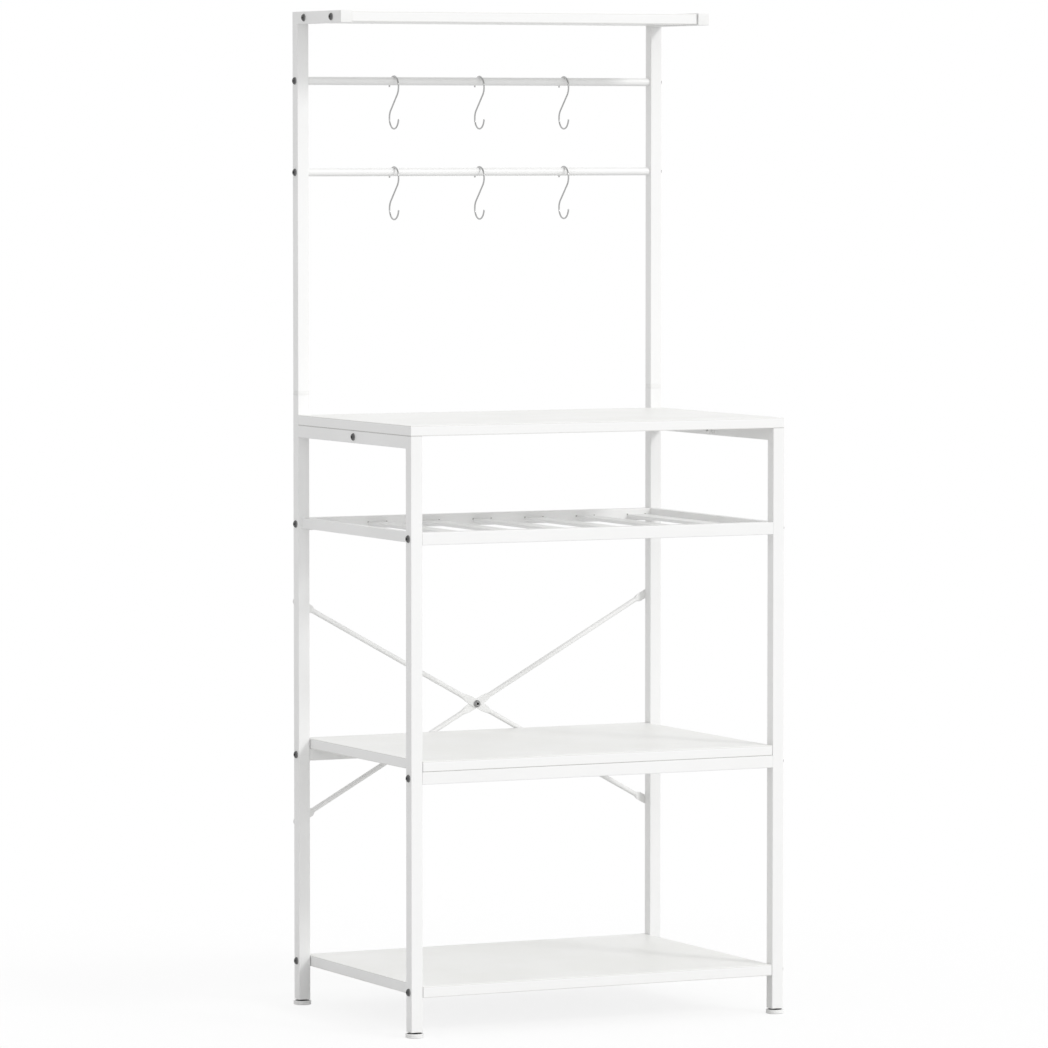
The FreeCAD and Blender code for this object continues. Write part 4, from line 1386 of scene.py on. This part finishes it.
brace_screw_spots = boxes_in("brace_end_screws", along_y).mean(axis=1)
half_run = np.abs(brace_screw_spots[:, 0]).max()
half_rise = np.ptp(brace_screw_spots[:, 2]) / 2
rod_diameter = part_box("brace_rising_left")[1].y - frame_rear - brace_gap
brace_middle = (cross_middle.x, frame_rear, cross_middle.z)
front_flat = brace_gap + brace_flat_thickness / 2
rear_flat = front_flat + brace_flat_thickness
for node, slope, cross_offset in (("brace_rising_left", -1, front_flat),
                                  ("brace_rising_right", 1, rear_flat)):
    rod_rows = pressed_rod(math.hypot(half_run, half_rise), rod_diameter, cross_offset)
    rod = dict(rows=rod_rows, spots=brace_middle, direction=(half_run, 0, slope * half_rise))
    make_piece(node.replace("brace", "brace_rod"), [rod], bead_paint,
               stands_for=[node])

# %% [markdown]
# ## Weld beads and tack welds
# The slats are welded to the rack's rails from below and tacked at their upper corners, where the
# tacks' darker grey is painted shade. The rack's rungs are welded to the legs on three sides, and
# each top rail to its rear leg from below. A weld is laid in small overlapping drops, which stay as
# ripples under the paint. They could be a bump, but a bead has real height, so it is a thin round
# rod along the joint, half sunk in both tubes, whose radius swells and shrinks once per drop.

# %% Beads and tacks
bead_radius = 0.0011
bead_drop = 0.0017
bead_ripple = 0.12
bead_inset = 0.0015
bead_corner = 0.0015
bead_end_share = 0.3
bead_rows_per_drop = 6
bead_columns = 12
tack_radius = 0.0013
tack_rows = 9
tack_half_turn = 1.5


def bead_rows(corners, plane_normal):
    """Rows of a bead along an eased line: radius times 1 + ripple * sine, thin at both ends."""
    line = np.asarray(corners, float)
    if len(corners) > 2:
        line = eased(corners, bead_corner)
    stops = np.concatenate([[0], np.cumsum(np.linalg.norm(np.diff(line, axis=0), axis=1))])
    along = np.linspace(0, stops[-1], int(stops[-1] / bead_drop * bead_rows_per_drop))
    path = np.stack([np.interp(along, stops, line[:, axis]) for axis in range(3)], axis=-1)
    from_end = np.minimum(along, stops[-1] - along)
    radius = bead_radius * (1 + bead_ripple * np.sin(along / bead_drop * 2 * math.pi))
    whole = smooth_step(from_end, 0, bead_drop)
    radius = radius * (bead_end_share + (1 - bead_end_share) * whole)
    return carried_circle(path, plane_normal, radius, bead_columns)


slat_beads = []
tack_spots = []
rail_edges = (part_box("rack_front_rail")[1].y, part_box("rack_rear_rail")[0].y)
for slat in [node for node in nodes if node.startswith("rack_slat_")]:
    low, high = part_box(slat)
    for edge in rail_edges:
        ends = [(low.x + bead_inset, edge, low.z), (high.x - bead_inset, edge, low.z)]
        slat_beads.append(dict(rows=bead_rows(ends, (0, 0, 1))))
    tack_spots += [(x, edge, high.z) for x in (low.x, high.x) for edge in rail_edges]
make_piece("slat_weld_beads", slat_beads, bead_paint)

tack_turn = np.linspace(-tack_half_turn, tack_half_turn, tack_rows)
tack_profile = tack_radius * np.stack([np.cos(tack_turn), np.sin(tack_turn)], axis=-1)
tacks = dict(rows=turned(tack_profile, bead_columns), spots=tack_spots)
# The tacks' dark grey is painted shade for the slats' corners.
make_piece("slat_tack_welds", [tacks], tack_shade_paint)

rung_beads = []
rail_beads = []
for side, sign in (("left", -1), ("right", 1)):
    low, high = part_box(side + "_rack_rung")
    inner = sign * (min(abs(low.x), abs(high.x)) + bead_inset)
    outer = sign * max(abs(low.x), abs(high.x))
    for y in (low.y, high.y):
        turn = [(inner, y, low.z), (outer, y, low.z), (outer, y, high.z), (inner, y, high.z)]
        rung_beads.append(dict(rows=bead_rows(turn, (0, 1, 0))))
    low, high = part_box(side + "_top_rail")
    leg_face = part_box(side + "_rear_leg")[0].y
    ends = [(low.x + 2 * bead_inset, leg_face, low.z), (high.x - 2 * bead_inset, leg_face, low.z)]
    rail_beads.append(dict(rows=bead_rows(ends, (0, 0, 1))))
make_piece("rung_weld_beads", rung_beads, bead_paint)
make_piece("top_rail_weld_beads", rail_beads, bead_paint)
